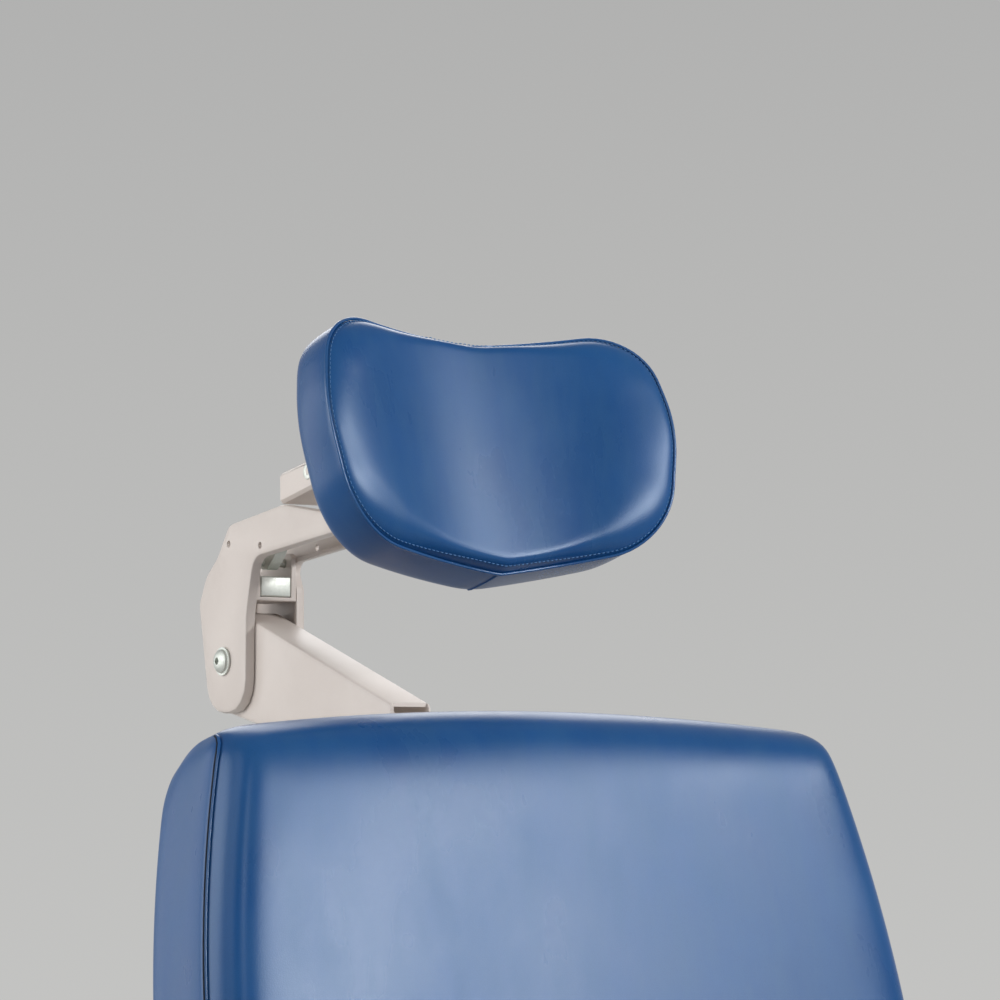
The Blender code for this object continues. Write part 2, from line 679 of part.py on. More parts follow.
def build_levers():
    """Swivel brake lever under the seat and recline release on the right hinge."""
    place = FRAMES["swivel_lever"][1] @ at(z=-0.003)
    lever = rounded([(0.012, -0.012, 0.011), (0.012, 0.012, 0.011), (-0.060, 0.008, 0.02),
                     (-0.185, 0.007, 0.006), (-0.185, -0.007, 0.006), (-0.060, -0.008, 0.02)], 4)
    piece = put("swivel_lever", plate(lever, 0.006), "swivel_lever", "steel", place)
    combine(piece, rod(0.010, -0.045, 0.020, 16), "UNION",
            place @ Matrix.Translation((-0.185, 0, 0)) @ ALONG_X)

    outer = RAIL_OUTER + GAP + DISC_THICK + GAP
    handle = rounded([(0.016, 0.016, 0.015), (-0.012, 0.020, 0.012), (-0.105, -0.098, 0.03),
                      (-0.135, -0.118, 0.009), (-0.120, -0.138, 0.009), (-0.085, -0.106, 0.03),
                      (0.016, -0.016, 0.015)], 4)
    piece = put("recline_lever", plate(handle, 0.008), "recline_lever", "black",
                at(outer + 0.004, HINGE_Y, HINGE_Z) @ SIDE)
    soften(piece, 0.0015, 1)


def build_arms():
    """Armrests that swing up about a stud at the top of each bracket."""
    under = 0.034
    tip = -ARM_LENGTH + 0.030
    web = rounded([(0.018, -0.014, 0.013), (0.018, under, 0.004), (tip, under, 0.002),
                   (tip, under - 0.010, 0.004), (-0.090, under - 0.024, 0.05), (-0.022, -0.014, 0.013)])
    low, high = under + GAP, under + ARM_PAD_THICK
    side_profile = rounded([(-ARM_LENGTH, low, 0.008), (0, low, 0.006), (0, high, 0.012),
                            (-ARM_LENGTH, high, 0.016)], 3, 0.06)
    inner = ARM_X + ARM_POST_THICK + GAP
    for (name, sign), (pad_name, _) in zip(sides("arm_beam"), sides("arm_pad")):
        group = "arm_left" if sign < 0 else "arm_right"
        place = FRAMES[group][1]
        beam = put(name, plate(web, 0.008), group, "paint", place @ at(sign * (inner + 0.004)) @ SIDE)
        flange = block((-0.021, -ARM_LENGTH + 0.034, under - 0.003), (0.021, -0.006, under - 0.0001))
        combine(beam, flange, "UNION", place @ at(sign * (inner + 0.004 - 0.010)))
        stud = rod(0.007, -ARM_POST_THICK - 0.008, 0.004, 16)
        combine(beam, stud, "UNION", place @ at(sign * inner) @ Matrix.Rotation(sign * pi / 2, 4, "Y"))

        def crown(a, b, t):
            """Rise of the arm pad's top."""
            share = max(0.0, (b - under) / ARM_PAD_THICK) ** 2
            return (0.0, 0.006 * (1 - t * t) * share)

        pad = swept_cushion(side_profile, lambda a, b: ARM_PAD_WIDTH / 2 - 0.004, crown, 0.010, 2)
        put(pad_name, pad, group, "leather", place @ at(sign * (inner + 0.004 - 0.010)))


def build_leg_rest():
    """Leg rest bars with a crank, board, cushion and folding footplate."""
    half = LEG_BAR_DEPTH / 2
    inside = RAIL_X - RAIL_WIDTH / 2 - GAP
    toe, sole, instep = -FOOT_REACH - 0.012, -LEG_LENGTH - 0.012, -LEG_LENGTH + 0.012
    bar = rounded([(-half, 0.012, half - 0.0005), (half, 0.012, half - 0.0005), (half, sole, 0.010),
                   (toe, sole, 0.011), (toe, instep, 0.011), (-half, instep, 0.012)])
    hole = circle(0.006 + PLAY, 16, (-FOOT_REACH, -LEG_LENGTH))
    for name, sign in sides("leg_bar"):
        piece = put(name, plate(bar, LEG_BAR, [hole]), "leg", "paint",
                    LEG @ at(sign * (inside - LEG_BAR / 2)) @ SIDE)
        combine(piece, rod(0.006, -0.005, RAIL_WIDTH, 16), "UNION",
                LEG @ at(sign * inside) @ Matrix.Rotation(sign * pi / 2, 4, "Y"))
    reach = inside - LEG_BAR - GAP
    cross = put("leg_cross", block((-reach, -half, -0.090), (reach, half, -0.066)), "leg", "paint", LEG)
    pin = LEG.inverted() @ ROD_FRONT
    crank = rounded([(-0.009, -0.088, 0.003), (0.009, -0.088, 0.003), (pin.y + 0.012, pin.z - 0.006, 0.010),
                     (pin.y + 0.006, pin.z + 0.012, 0.010), (-0.009, -0.068, 0.003)])
    crank_mid = CRANK_X + CRANK_THICK / 2
    combine(cross, plate(crank, CRANK_THICK), "UNION", LEG @ at(crank_mid) @ SIDE)
    stud = rod(ROD_PIN, 0, ROD_THICK + CRANK_THICK + 0.002, 16)
    combine(cross, stud, "UNION", LEG @ at(CRANK_X, pin.y, pin.z) @ ALONG_X)

    board_rear = -half - GAP
    wide, low, high = LEG_HALF_WIDTH - 0.015, -LEG_LENGTH + 0.050, -0.050
    sheet = rounded([(-wide, low, 0.03), (wide, low, 0.03), (wide, high, 0.03), (-wide, high, 0.03)], 4)
    put("leg_board", plate(sheet, BOARD_THICK), "leg", "board",
        LEG @ at(y=board_rear - BOARD_THICK / 2) @ FRONT)
    rear = board_rear - BOARD_THICK - GAP
    front = rear - LEG_THICK + 0.010
    low, high = -LEG_LENGTH + 0.036, -0.040
    profile = rounded([(front, low, 0.018), (rear, low, 0.010), (rear, high, 0.010), (front, high, 0.020)],
                      4, 0.05)

    def crown(a, b, t):
        """Rise of the leg cushion towards the calf."""
        share = max(0.0, (rear - a) / (rear - front)) ** 3
        along = (b - low) / (high - low)
        return (-0.010 * (1 - t ** 4) * share * sin(pi * min(1, max(0, along))) ** 0.5, 0.0)

    put("leg_cushion", swept_cushion(profile, lambda a, b: LEG_HALF_WIDTH, crown), "leg", "leather", LEG)

    foot = FRAMES["foot"][1]
    wide = FOOT_WIDTH / 2
    tread = rounded([(-wide, 0.008, 0.006), (wide, 0.008, 0.006), (wide, -FOOT_LENGTH, 0.035),
                     (-wide, -FOOT_LENGTH, 0.035)])
    step = put("foot_plate", plate(tread, FOOT_THICK), "foot", "cover", foot)
    soften(step, 0.0015, 1)
    reach = inside + 0.002
    combine(step, rod(0.006, -reach, reach, 16), "UNION", foot @ ALONG_X)
    for k in range(5):
        y = -0.045 - 0.028 * k
        rib = block((-wide + 0.030, y - 0.005, 0.003), (wide - 0.030, y + 0.005, FOOT_THICK / 2 + 0.0018))
        combine(step, rib, "UNION", foot)


def build_tie_rod():
    """Rod between the crank of the back and the crank of the leg rest."""
    span = ROD_FRONT - ROD_REAR
    length = hypot(span.y, span.z)
    angle = atan2(span.z, span.y)
    eye = 0.011
    outline = rounded([(-eye, -eye, eye - 0.0002), (0.030, -0.006, 0.02), (length - 0.030, -0.006, 0.02),
                       (length + eye, -eye, eye - 0.0002), (length + eye, eye, eye - 0.0002),
                       (length - 0.030, 0.006, 0.02), (0.030, 0.006, 0.02), (-eye, eye, eye - 0.0002)])
    holes = [circle(ROD_PIN + PLAY, 16), circle(ROD_PIN + PLAY, 16, (length, 0))]
    place = Matrix.Translation(ROD_REAR) @ Matrix.Rotation(angle, 4, "X")
    put("tie_rod", plate(outline, ROD_THICK, holes), "tie", "steel",
        place @ at(CRANK_X + CRANK_THICK + GAP + ROD_THICK / 2) @ SIDE)


def back_half_width(a, b):
    """Distance of the back's side seam from the middle: widest a little above half height."""
    if b > BACK_WIDEST:
        share = (b - BACK_WIDEST) / (BACK_TOP - 0.022 - BACK_WIDEST)
        return BACK_HALF_WIDTH - BACK_TOP_DRAW * share ** 2
    share = (BACK_WIDEST - b) / (BACK_WIDEST - BACK_BOTTOM)
    return BACK_HALF_WIDTH - BACK_LOW_DRAW * share ** 2


def build_back():
    """Back frame, board, cushion, rear shell and headrest guide with its clamp."""
    eye = 0.026
    bar = rounded([(-eye, -eye, eye - 0.0005), (eye, -eye, eye - 0.0005), (BAR_REAR, 0.060, 0.02),
                   (BAR_REAR, UPPER_BAR_Z + 0.015, 0.004), (BAR_FRONT, UPPER_BAR_Z + 0.015, 0.004),
                   (BAR_FRONT, 0.062, 0.03), (-eye, eye - 0.004, eye - 0.008)])
    hole = circle(HINGE_PIN + PLAY, 24)
    lug_inner = RAIL_OUTER - LUG_THICK - GAP
    for name, sign in sides("back_upright"):
        put(name, plate(bar, LUG_THICK, [hole]), "back", "paint",
            BACK @ at(sign * (lug_inner - LUG_THICK / 2)) @ SIDE)
    reach = lug_inner - LUG_THICK - GAP
    bars = (("back_bar_lower", BACK_BOTTOM + 0.024), ("back_bar_middle", MIDDLE_BAR_Z),
            ("back_bar_upper", UPPER_BAR_Z))
    for name, z in bars:
        tube = block((-reach, BAR_FRONT, z - 0.010), (reach, BAR_REAR, z + 0.010))
        bar = put(name, tube, "back", "paint", BACK)
        if name == "back_bar_lower":
            pin = BACK.inverted() @ ROD_REAR
            crank = rounded([(BAR_FRONT + 0.001, z + 0.008, 0.003), (BAR_FRONT + 0.001, z - 0.030, 0.02),
                             (pin.y - 0.012, pin.z - 0.004, 0.010), (pin.y + 0.004, pin.z - 0.013, 0.010),
                             (pin.y + 0.013, pin.z + 0.003, 0.010), (BAR_REAR - 0.001, z - 0.020, 0.02),
                             (BAR_REAR - 0.001, z + 0.008, 0.003)])
            combine(bar, plate(crank, CRANK_THICK), "UNION", BACK @ at(CRANK_X + CRANK_THICK / 2) @ SIDE)
            stud = rod(ROD_PIN, 0, ROD_THICK + CRANK_THICK + 0.002, 16)
            combine(bar, stud, "UNION", BACK @ at(CRANK_X, pin.y, pin.z) @ ALONG_X)

    low, high = BACK_BOTTOM + 0.042, BACK_TOP - 0.059
    rim = []
    for side in (1, -1):
        shares = (0, 1, 2, 3, 4, 5) if side > 0 else (5, 4, 3, 2, 1, 0)
        levels = [low + 0.022 + k / 5 * (high - low - 0.074) for k in shares]
        rim += [(side * (back_half_width(0, b) - 0.026), b, 0) for b in levels]
    edge = BACK_HALF_WIDTH - 0.039
    shoulder = [(edge - 0.022, high + 0.020, 0.055), (-edge + 0.022, high + 0.020, 0.055)]
    board = rounded([(edge, low, 0.05)] + rim[:6] + shoulder + rim[6:] + [(-edge, low, 0.05)], 4)
    put("back_board", plate(board, BOARD_THICK), "back", "board",
        BACK @ at(y=BACK_REAR + GAP + BOARD_THICK / 2) @ FRONT)

    profile = rounded([(BACK_FRONT, BACK_BOTTOM, 0.030), (BACK_REAR, BACK_BOTTOM, 0.016),
                       (BACK_REAR, BACK_TOP, 0.045), (BACK_FRONT, BACK_TOP, 0.020)], 4, 0.05)

    def crown(a, b, t):
        """Front bulge between the side seams and the arch of the top edge."""
        forward = max(0.0, min(1.0, (BACK_REAR - a) / (BACK_REAR - BACK_FRONT)))
        along = max(0.0, min(1.0, (b - BACK_BOTTOM) / (BACK_TOP - BACK_BOTTOM)))
        bulge = BACK_CROWN * (1 - t ** 4) * forward ** 3 * sin(pi * along) ** 0.4
        rise = BACK_ARCH * (1 - t * t) * max(0.0, (along - 0.80) / 0.20) ** 2
        return (-bulge, rise)

    put("back_cushion", swept_cushion(profile, back_half_width, crown), "back", "leather", BACK)

    hip, shoulder = (edge - 0.014, low + 0.018, 0.06), (edge - 0.040, high - 0.006, 0.06)
    right = [hip] + [(x - 0.010, b, 0) for x, b, _ in rim[1:5]] + [shoulder]
    shell_outline = rounded(right + [(-x, b, r) for x, b, r in reversed(right)], 4)
    deep = SHELL_DEPTH
    wall = SHELL_WALL
    levels = ((0.046 + wall, deep - wall), (0.022 + wall, deep - 0.008 - wall),
              (0.007 + wall, deep - 0.024 - wall), (wall, 0), (0, 0), (0.004, deep - 0.026),
              (0.018, deep - 0.008), (0.044, deep))
    shell = put("back_shell", cup(shell_outline, levels), "back", "cover",
                BACK @ at(y=SHELL_FRONT) @ FRONT @ Matrix.Rotation(pi, 4, "Y"))
    slot = ARM_HALF_WIDTH + 0.008
    mouth = block((-slot, BAR_REAR - 0.002, high - 0.060), (slot, SHELL_FRONT + deep + 0.01, high + 0.05))
    combine(shell, mouth, "DIFFERENCE", BACK)
    combine(shell, rod(0.009, -0.02, 0.02, 16), "DIFFERENCE",
            BACK @ at(0, SHELL_FRONT + deep, KNOB_Z) @ FRONT)
    for sign in (-1, 1):
        near, far = sorted((sign * (reach - 0.004), sign * (lug_inner + 0.004)))
        combine(shell, block((near, 0, low - 0.02), (far, BAR_REAR + 0.003, low + 0.06)), "DIFFERENCE", BACK)

    half = POST_HALF_WIDTH + POST_PLAY
    guide = put("headrest_guide", block((-half - GUIDE_WALL, GUIDE_FRONT, GUIDE_BOTTOM),
                                        (half + GUIDE_WALL, GUIDE_REAR, GUIDE_TOP)), "back", "steel", BACK)
    combine(guide, block((-half, GUIDE_FRONT + GUIDE_WALL, GUIDE_BOTTOM - 0.01),
                         (half, GUIDE_REAR - GUIDE_WALL, GUIDE_TOP + 0.01)), "DIFFERENCE", BACK)
    combine(guide, rod(0.004 + PLAY, -0.01, GUIDE_WALL / 2 + 0.01, 16), "DIFFERENCE",
            FRAMES["knob"][1] @ Matrix.Rotation(-pi / 2, 4, "X") @ at(z=-GUIDE_WALL / 2))

    face = SHELL_FRONT + deep + 0.002 - GUIDE_REAR
    turns = [2 * pi * k / 30 for k in range(30)]
    lobes = [KNOB_RADIUS + 0.0025 * cos(5 * turn) for turn in turns]
    star = [(r * cos(turn), r * sin(turn)) for r, turn in zip(lobes, turns)]
    knob_place = FRAMES["knob"][1]
    knob = put("clamp_knob", plate(star, 0.018), "knob", "black", knob_place @ at(y=face + 0.009) @ FRONT)
    soften(knob, 0.003, 1)
    combine(knob, rod(0.004, -face - 0.002, GUIDE_WALL + POST_PLAY - GAP, 16), "UNION",
            knob_place @ FRONT)


def build_headrest_slide():
    """Sliding post and the folded arm that carries the headrest's lower pivot."""
    bar = block((-POST_HALF_WIDTH, POST_FRONT, POST_BOTTOM), (POST_HALF_WIDTH, POST_REAR, POST_TOP))
    post = put("headrest_post", bar, "post", "chrome", BACK)
    soften(post, 0.0015)
    place = Matrix.Translation(LOWER_PIVOT) @ SIDE
    front_top = BACK @ Vector((0, POST_FRONT - SHEET, POST_TOP + 0.008)) - LOWER_PIVOT
    front_low = BACK @ Vector((0, POST_FRONT - SHEET, POST_TOP - 0.052)) - LOWER_PIVOT
    web_end = -0.229
    level = 0.0378
    drop = -0.0370
    outline = rounded([(front_low.y, front_low.z, 0.008), (0.041, -0.0335, 0.034), (0.038, level, 0.034),
                       (-0.010, level, 0.012), (web_end, drop, 0), (web_end, front_top.z, 0),
                       (front_top.y, front_top.z, 0.008)], 4)
    slack = SHEET * 1.05
    hollow = [(0.080, level - SHEET), (-0.0093, level - SHEET), (web_end + SHEET, drop + 0.001 - slack),
              (web_end + SHEET, 0.020), (web_end - 0.100, 0.020), (web_end - 0.100, -0.200), (0.080, -0.200)]
    arm = put("headrest_arm", plate(outline, 2 * ARM_HALF_WIDTH), "post", "paint", place)
    soften(arm, 0.0032, 2)
    combine(arm, plate(hollow, 2 * (ARM_HALF_WIDTH - SHEET)), "DIFFERENCE", place)
    for sign in (-1, 1):
        boss = rod(0.014, ARM_HALF_WIDTH - 0.001, CHEEK_OUTER - CHEEK_SHEET - GAP, 20)
        combine(arm, boss, "UNION", Matrix.Translation(LOWER_PIVOT) @ Matrix.Rotation(sign * pi / 2, 4, "Y"))
    combine(arm, rod(PIVOT_RADIUS + PLAY, -0.05, 0.05, 16), "DIFFERENCE",
            Matrix.Translation(LOWER_PIVOT) @ ALONG_X)


def build_link():
    """Pressed cheeks with a turned rim, lock bracket and block, lower bolt, upper pin and lock lever."""
    place = Matrix.Translation(LOWER_PIVOT)
    up_y, up_z = UPPER_PIVOT_Y, UPPER_PIVOT_Z
    shared = [(-0.0334, -0.0400, 0.026), (0.0245, -0.0405, 0.026), (0.0420, 0.0460, 0.010),
              (0.0310, 0.0675, 0.020), (0.0130, 0.0820, 0.018), (-0.0050, 0.1065, 0.012),
              (-0.0860, 0.1170, 0.030), (up_y + 0.016, 0.1050, 0.012), (up_y - 0.0125, up_z + 0.0125, 0.0110),
              (up_y - 0.0125, up_z - 0.0115, 0.0110), (up_y + 0.004, up_z - 0.0115, 0.006),
              (up_y + 0.016, 0.0905, 0.012)]
    throat = {-1: [(-0.0440, 0.0785, 0.014), (-0.0334, 0.0340, 0.050)],
              1: [(-0.0230, 0.0760, 0.008), (-0.0334, 0.0560, 0.012)]}
    round_ = CHEEK_ROUND
    face, rim = CHEEK_OUTER, CHEEK_RIM
    floor = face - CHEEK_SHEET
    slope = round_ * (1 - cos(pi / 4))
    levels = ((CHEEK_SHEET, floor), (CHEEK_SHEET, rim), (0, rim), (0, face - round_), (slope, face - slope),
              (round_, face))
    for name, sign in sides("link_cheek"):
        outline = rounded(shared + throat[sign], 4)
        mesh = cup(outline, [(step, sign * height) for step, height in levels])
        cheek = put(name, mesh, "link", "paint", place @ SIDE)
        combine(cheek, rod(PIVOT_RADIUS + PLAY, -0.05, 0.05, 16), "DIFFERENCE", place @ ALONG_X)
        combine(cheek, rod(PIVOT_RADIUS + PLAY, -0.05, 0.05, 16), "DIFFERENCE",
                Matrix.Translation(UPPER_PIVOT) @ ALONG_X)
        for y, z in ((-0.0065, 0.0910), (-0.0551, 0.0873)):
            combine(cheek, rod(0.0027, -0.05, 0.05, 16), "DIFFERENCE", place @ at(y=y, z=z) @ ALONG_X)

    low = 0.0463
    wide = rim - GAP
    shape = rounded([(-0.0334, low, 0.001), (0.016, low, 0.003), (0.016, 0.068, 0.006),
                     (-0.002, 0.084, 0.006), (-0.0334, 0.084, 0.006)])
    bracket = put("link_bracket", plate(shape, 2 * wide), "link", "paint", place @ SIDE)
    inner = 0.0138
    combine(bracket, block((-inner, -0.06, low + SHEET), (inner, 0.06, 0.12)), "DIFFERENCE", place)
    lever_y, lever_z = (LEVER_AXIS - LOWER_PIVOT).yz
    combine(bracket, rod(0.003 + PLAY, -0.05, 0.05, 16), "DIFFERENCE",
            place @ at(y=lever_y, z=lever_z) @ ALONG_X)
    seat = low + SHEET + GAP
    piece = put("lock_block", block((-inner + GAP, -0.0337, seat), (inner - GAP, -0.010, seat + 0.0157)),
                "link", "zinc", place)
    soften(piece, 0.0012, 2)

    end = CHEEK_OUTER + GAP
    head = [(0, end + 0.0062), (0.0042, end + 0.0060), (0.0072, end + 0.0050), (0.0090, end + 0.0034),
            (0.0094, end + 0.0016), (0.0112, end + 0.0016), (0.0112, end), (PIVOT_RADIUS, end)]
    bolt = turned("lower_pivot_bolt", head + [(PIVOT_RADIUS, -0.0370), (0, -0.0370)], "link", "zinc",
                  place @ Matrix.Rotation(-pi / 2, 4, "Y"))
    socket = rod(0.0030, end + 0.0030, end + 0.02, 6)
    combine(bolt, socket, "DIFFERENCE", place @ Matrix.Rotation(-pi / 2, 4, "Y"))
    nut = plate(circle(0.0098, 6), 0.008, [circle(PIVOT_RADIUS + 2 * PLAY, 16)])
    put("lower_pivot_nut", nut, "link", "zinc", place @ at(end + 0.004) @ ALONG_X)
    button = [(0, end + 0.0040), (0.0070, end + 0.0036), (0.0090, end + 0.0020), (0.0090, end),
              (PIVOT_RADIUS, end)]
    pin = button + [(radius, -height) for radius, height in reversed(button)]
    turned("upper_pivot_pin", pin, "link", "zinc", Matrix.Translation(UPPER_PIVOT) @ ALONG_X)

    hub = Matrix.Translation(LEVER_AXIS)
    tab = rounded([(0.0055, -0.0055, 0.0052), (0.0055, 0.0055, 0.0052), (-0.014, 0.0060, 0.003),
                   (-0.0185, 0.0110, 0.001), (-0.0205, 0.0090, 0.001), (-0.016, 0.0030, 0.003),
                   (-0.006, -0.0055, 0.003)], 4)
    lever = put("release_lever", plate(tab, 0.010), "lever", "zinc", hub @ SIDE)
    combine(lever, rod(0.003, -wide, wide, 16), "UNION", hub @ ALONG_X)


def wing(a):
    """Forward reach of the headrest's sides at a distance from its middle."""
    return PAD_WING * (a / 0.144) ** 2


def build_headrest():
    """Headrest bracket, curved board and winged pad."""
    place = Matrix.Translation(UPPER_PIVOT) @ SIDE
    to_pad = PAD.inverted() @ UPPER_PIVOT
    board_rear = PAD_DEPTH + GAP + 0.010
    flange_rear = board_rear + GAP + 0.004

    def on_flange(q):
        """Point of the flange's rear face at a height on the pad, seen from the upper pivot."""
        point = PAD @ Vector((0, flange_rear - 0.0015, q)) - UPPER_PIVOT
        return (point.y, point.z)

    top = on_flange(0.140)
    bottom = on_flange(0.112)
    tail, neck = (0.112, 0.023), (0.022, 0.0405)
    outline = rounded([(*tail, 0.003), (0.113, 0.047, 0.004), (*top, 0), (*bottom, 0),
                       (-0.024, 0.049, 0.020), (-0.0135, -0.0125, 0.0125), (0.0135, -0.0125, 0.0125),
                       (*neck, 0.012)], 4)

    def web(y):
        """Upper face of the bracket's lower web."""
        return tail[1] + SHEET + (y - tail[0]) * (neck[1] - tail[1]) / (neck[0] - tail[0])

    bracket = put("pad_bracket", plate(outline, 2 * ARM_HALF_WIDTH), "pad", "paint", place)
    soften(bracket, 0.0025, 1)
    hollow = [(0.150, web(0.150)), (0.150, 0.200), (-0.150, 0.200), (-0.150, -0.060), (neck[0], -0.060),
              (neck[0], web(neck[0]))]
    combine(bracket, plate(hollow, 2 * (ARM_HALF_WIDTH - SHEET)), "DIFFERENCE", place)
    flange = rounded([(-0.038, 0.070, 0.008), (0.038, 0.070, 0.008), (0.038, 0.150, 0.008),
                      (-0.038, 0.150, 0.008)], 3)
    combine(bracket, plate(flange, 0.004), "UNION", PAD @ at(y=flange_rear - 0.002) @ FRONT)
    for sign in (-1, 1):
        boss = rod(0.0075, ARM_HALF_WIDTH - 0.001, CHEEK_OUTER - CHEEK_SHEET - GAP, 16)
        combine(bracket, boss, "UNION",
                Matrix.Translation(UPPER_PIVOT) @ Matrix.Rotation(sign * pi / 2, 4, "Y"))
    combine(bracket, rod(PIVOT_RADIUS + PLAY, -0.05, 0.05, 16), "DIFFERENCE",
            Matrix.Translation(UPPER_PIVOT) @ ALONG_X)
    tail = Matrix.Translation(UPPER_PIVOT) @ at(y=0.069, z=0.0455)
    bolt_head = rod(0.006, -(ARM_HALF_WIDTH + CHEEK_RIM) / 2, -ARM_HALF_WIDTH + 0.001, 16)
    combine(bracket, bolt_head, "UNION", tail @ ALONG_X)

    w, h = PAD_HALF_WIDTH, PAD_HEIGHT
    half = [(w * 0.890, 0.0190, 0.060), (w, h * 0.585, 0.120), (w * 0.893, h, 0.046), (0, h - 0.011, 0.100)]
    mirrored = [(-a, b, r) for a, b, r in reversed(half[:-1])]
    seam = rounded([(0, 0, 0.015)] + half + mirrored, 5, 0.024)

    def front(rise):
        """Face of the pad: the winged seam surface brought forward by a rise."""
        return lambda a, b: -wing(a) - rise

    def rear(depth):
        """Surface behind the seam."""
        return lambda a, b: -wing(a) + depth

    back_face = rear(PAD_DEPTH)
    rings = ((0.33, back_face), (0.80, back_face), (0.955, back_face),
             (0.985, rear(PAD_DEPTH - 0.004)), (1.0, rear(PAD_DEPTH * 0.5)), (0.992, rear(0.0025)),
             (0.975, front(0.003)), (0.93, front(PAD_CROWN * 0.62)), (0.82, front(PAD_CROWN * 0.95)),
             (0.55, front(PAD_CROWN)), (0.25, front(PAD_CROWN)))
    put("headrest_pad", polar_pad(seam, rings), "pad", "leather", PAD)

    def flat_rear(a, b):
        """Rear of the board, flat where the bracket sits."""
        return -wing(max(0.0, abs(a) - 0.045)) + board_rear

    lip = rear(PAD_DEPTH + GAP)
    rings = ((0.33, lip), (0.80, lip), (0.80, flat_rear), (0.33, flat_rear))
    put("pad_board", polar_pad(seam, rings), "pad", "cover", PAD)


build_base()
build_pedal()
build_lift()
build_seat()
build_levers()
build_arms()
build_leg_rest()
build_tie_rod()
build_back()
build_headrest_slide()
build_link()
build_headrest()
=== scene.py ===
# %% [markdown]
# An examination chair with a jointed headrest
#
# The chair's metal, boards and covers come from a fixed frame that is already measured and jointed. This
# lesson dresses that frame: every surface gets its own finish, and the six padded pieces are sewn afresh.
# All points are in metres. The seated person looks towards -Y, and Z = 0 is the floor.

# %% Load the frame
import bmesh
import bpy
import numpy as np
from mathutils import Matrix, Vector


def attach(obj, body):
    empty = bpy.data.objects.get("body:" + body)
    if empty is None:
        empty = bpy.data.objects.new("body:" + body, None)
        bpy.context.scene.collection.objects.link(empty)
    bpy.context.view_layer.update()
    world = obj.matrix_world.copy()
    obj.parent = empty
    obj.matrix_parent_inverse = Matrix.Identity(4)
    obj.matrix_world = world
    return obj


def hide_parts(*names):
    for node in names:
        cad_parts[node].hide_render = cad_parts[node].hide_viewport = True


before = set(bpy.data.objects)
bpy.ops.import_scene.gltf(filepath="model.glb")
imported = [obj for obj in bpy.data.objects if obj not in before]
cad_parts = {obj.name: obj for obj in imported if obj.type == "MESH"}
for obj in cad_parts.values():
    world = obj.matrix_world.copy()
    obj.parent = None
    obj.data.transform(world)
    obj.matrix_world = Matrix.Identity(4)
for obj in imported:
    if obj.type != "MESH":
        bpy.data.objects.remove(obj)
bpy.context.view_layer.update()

# %% [markdown]
# Building materials with a few words
#
# A material is a small network of nodes. Written out in full, each node takes five or six lines, so a few
# helpers that make a node, set its properties and connect its inputs keep the recipes readable. An input is
# named by its label, or by its number where a node has several inputs with one label.


# %% Helpers for nodes
def connect(tree, node, inputs):
    """Sets a node's inputs: a plain value is written down, another node's output is linked."""
    for key, value in inputs.items():
        if isinstance(value, bpy.types.NodeSocket):
            tree.links.new(value, node.inputs[key])
        else:
            node.inputs[key].default_value = value


def add(tree, kind, inputs=None, **properties):
    """New shader node with its properties set and its inputs connected."""
    made = tree.nodes.new("ShaderNode" + kind)
    for key, value in properties.items():
        setattr(made, key, value)
    connect(tree, made, inputs or {})
    return made


def spread(tree, value, low, high, to_low=0.0, to_high=1.0):
    """Value carried from one range to another and kept inside it."""
    return add(tree, "MapRange", {0: value, 1: low, 2: high, 3: to_low, 4: to_high}).outputs[0]


def maths(tree, operation, first, second):
    """One arithmetic step."""
    return add(tree, "Math", {0: first, 1: second}, operation=operation).outputs[0]


def vectors(tree, operation, first, second):
    """One step with directions or places."""
    return add(tree, "VectorMath", {0: first, 1: second}, operation=operation).outputs


def blend_colours(tree, share, first, second):
    """Mix of two colours."""
    return add(tree, "Mix", {0: share, 6: first, 7: second}, data_type="RGBA").outputs[2]


def noise(tree, place, scale, detail, rough=0.5):
    """Soft noise; detail adds finer layers, and rough is how much each of them counts."""
    inputs = {"Vector": place, "Scale": scale, "Detail": detail, "Roughness": rough}
    return add(tree, "TexNoise", inputs).outputs


SOCKETS = {1: "NodeSocketFloat", 3: "NodeSocketVector", 4: "NodeSocketColor"}


def new_group(name, outputs, **inputs):
    """Empty node group that takes a place and further inputs.

    The count of an input's numbers decides its kind. An output called Colour is a colour, others are numbers.
    """
    tree = bpy.data.node_groups.new(name, "ShaderNodeTree")
    tree.interface.new_socket("Place", in_out="INPUT", socket_type=SOCKETS[3])
    for label, value in inputs.items():
        socket = tree.interface.new_socket(label, in_out="INPUT", socket_type=SOCKETS[np.size(value)])
        socket.default_value = value
    for label in outputs:
        tree.interface.new_socket(label, in_out="OUTPUT", socket_type=SOCKETS[4 if label == "Colour" else 1])
    given = tree.nodes.new("NodeGroupInput").outputs
    return tree, given, tree.nodes.new("NodeGroupOutput")


print("kinds of group inputs:", ", ".join(SOCKETS.values()))

# %% [markdown]
# Effects that several finishes share
#
# No real surface has one even colour. Vinyl is rubbed lighter in places, paint gathers a little tone, metal
# carries the lines of its rolling. Each of these is a node group with its own scale, built once here. The
# groups give out colours, masks and heights only, so each material keeps its own shader.


# %% Colour drift, hide grain, spray texture, rolled lines, and edges for wear and painted sheen
def make_drift():
    """Colour drift: soft clouds of noise decide how much of a second colour shows."""
    tree, given, result = new_group("colour drift", ("Colour", "Share"), Colour=(0.5, 0.5, 0.5, 1),
                                    Second=(0.4, 0.4, 0.4, 1), Scale=8.0, Amount=1.0)
    cloud = noise(tree, given["Place"], given["Scale"], 4.0, 0.55)["Fac"]
    share = maths(tree, "MULTIPLY", spread(tree, cloud, 0.35, 0.68), given["Amount"])
    colour = blend_colours(tree, share, given["Colour"], given["Second"])
    connect(tree, result, {"Colour": colour, "Share": share})
    return tree


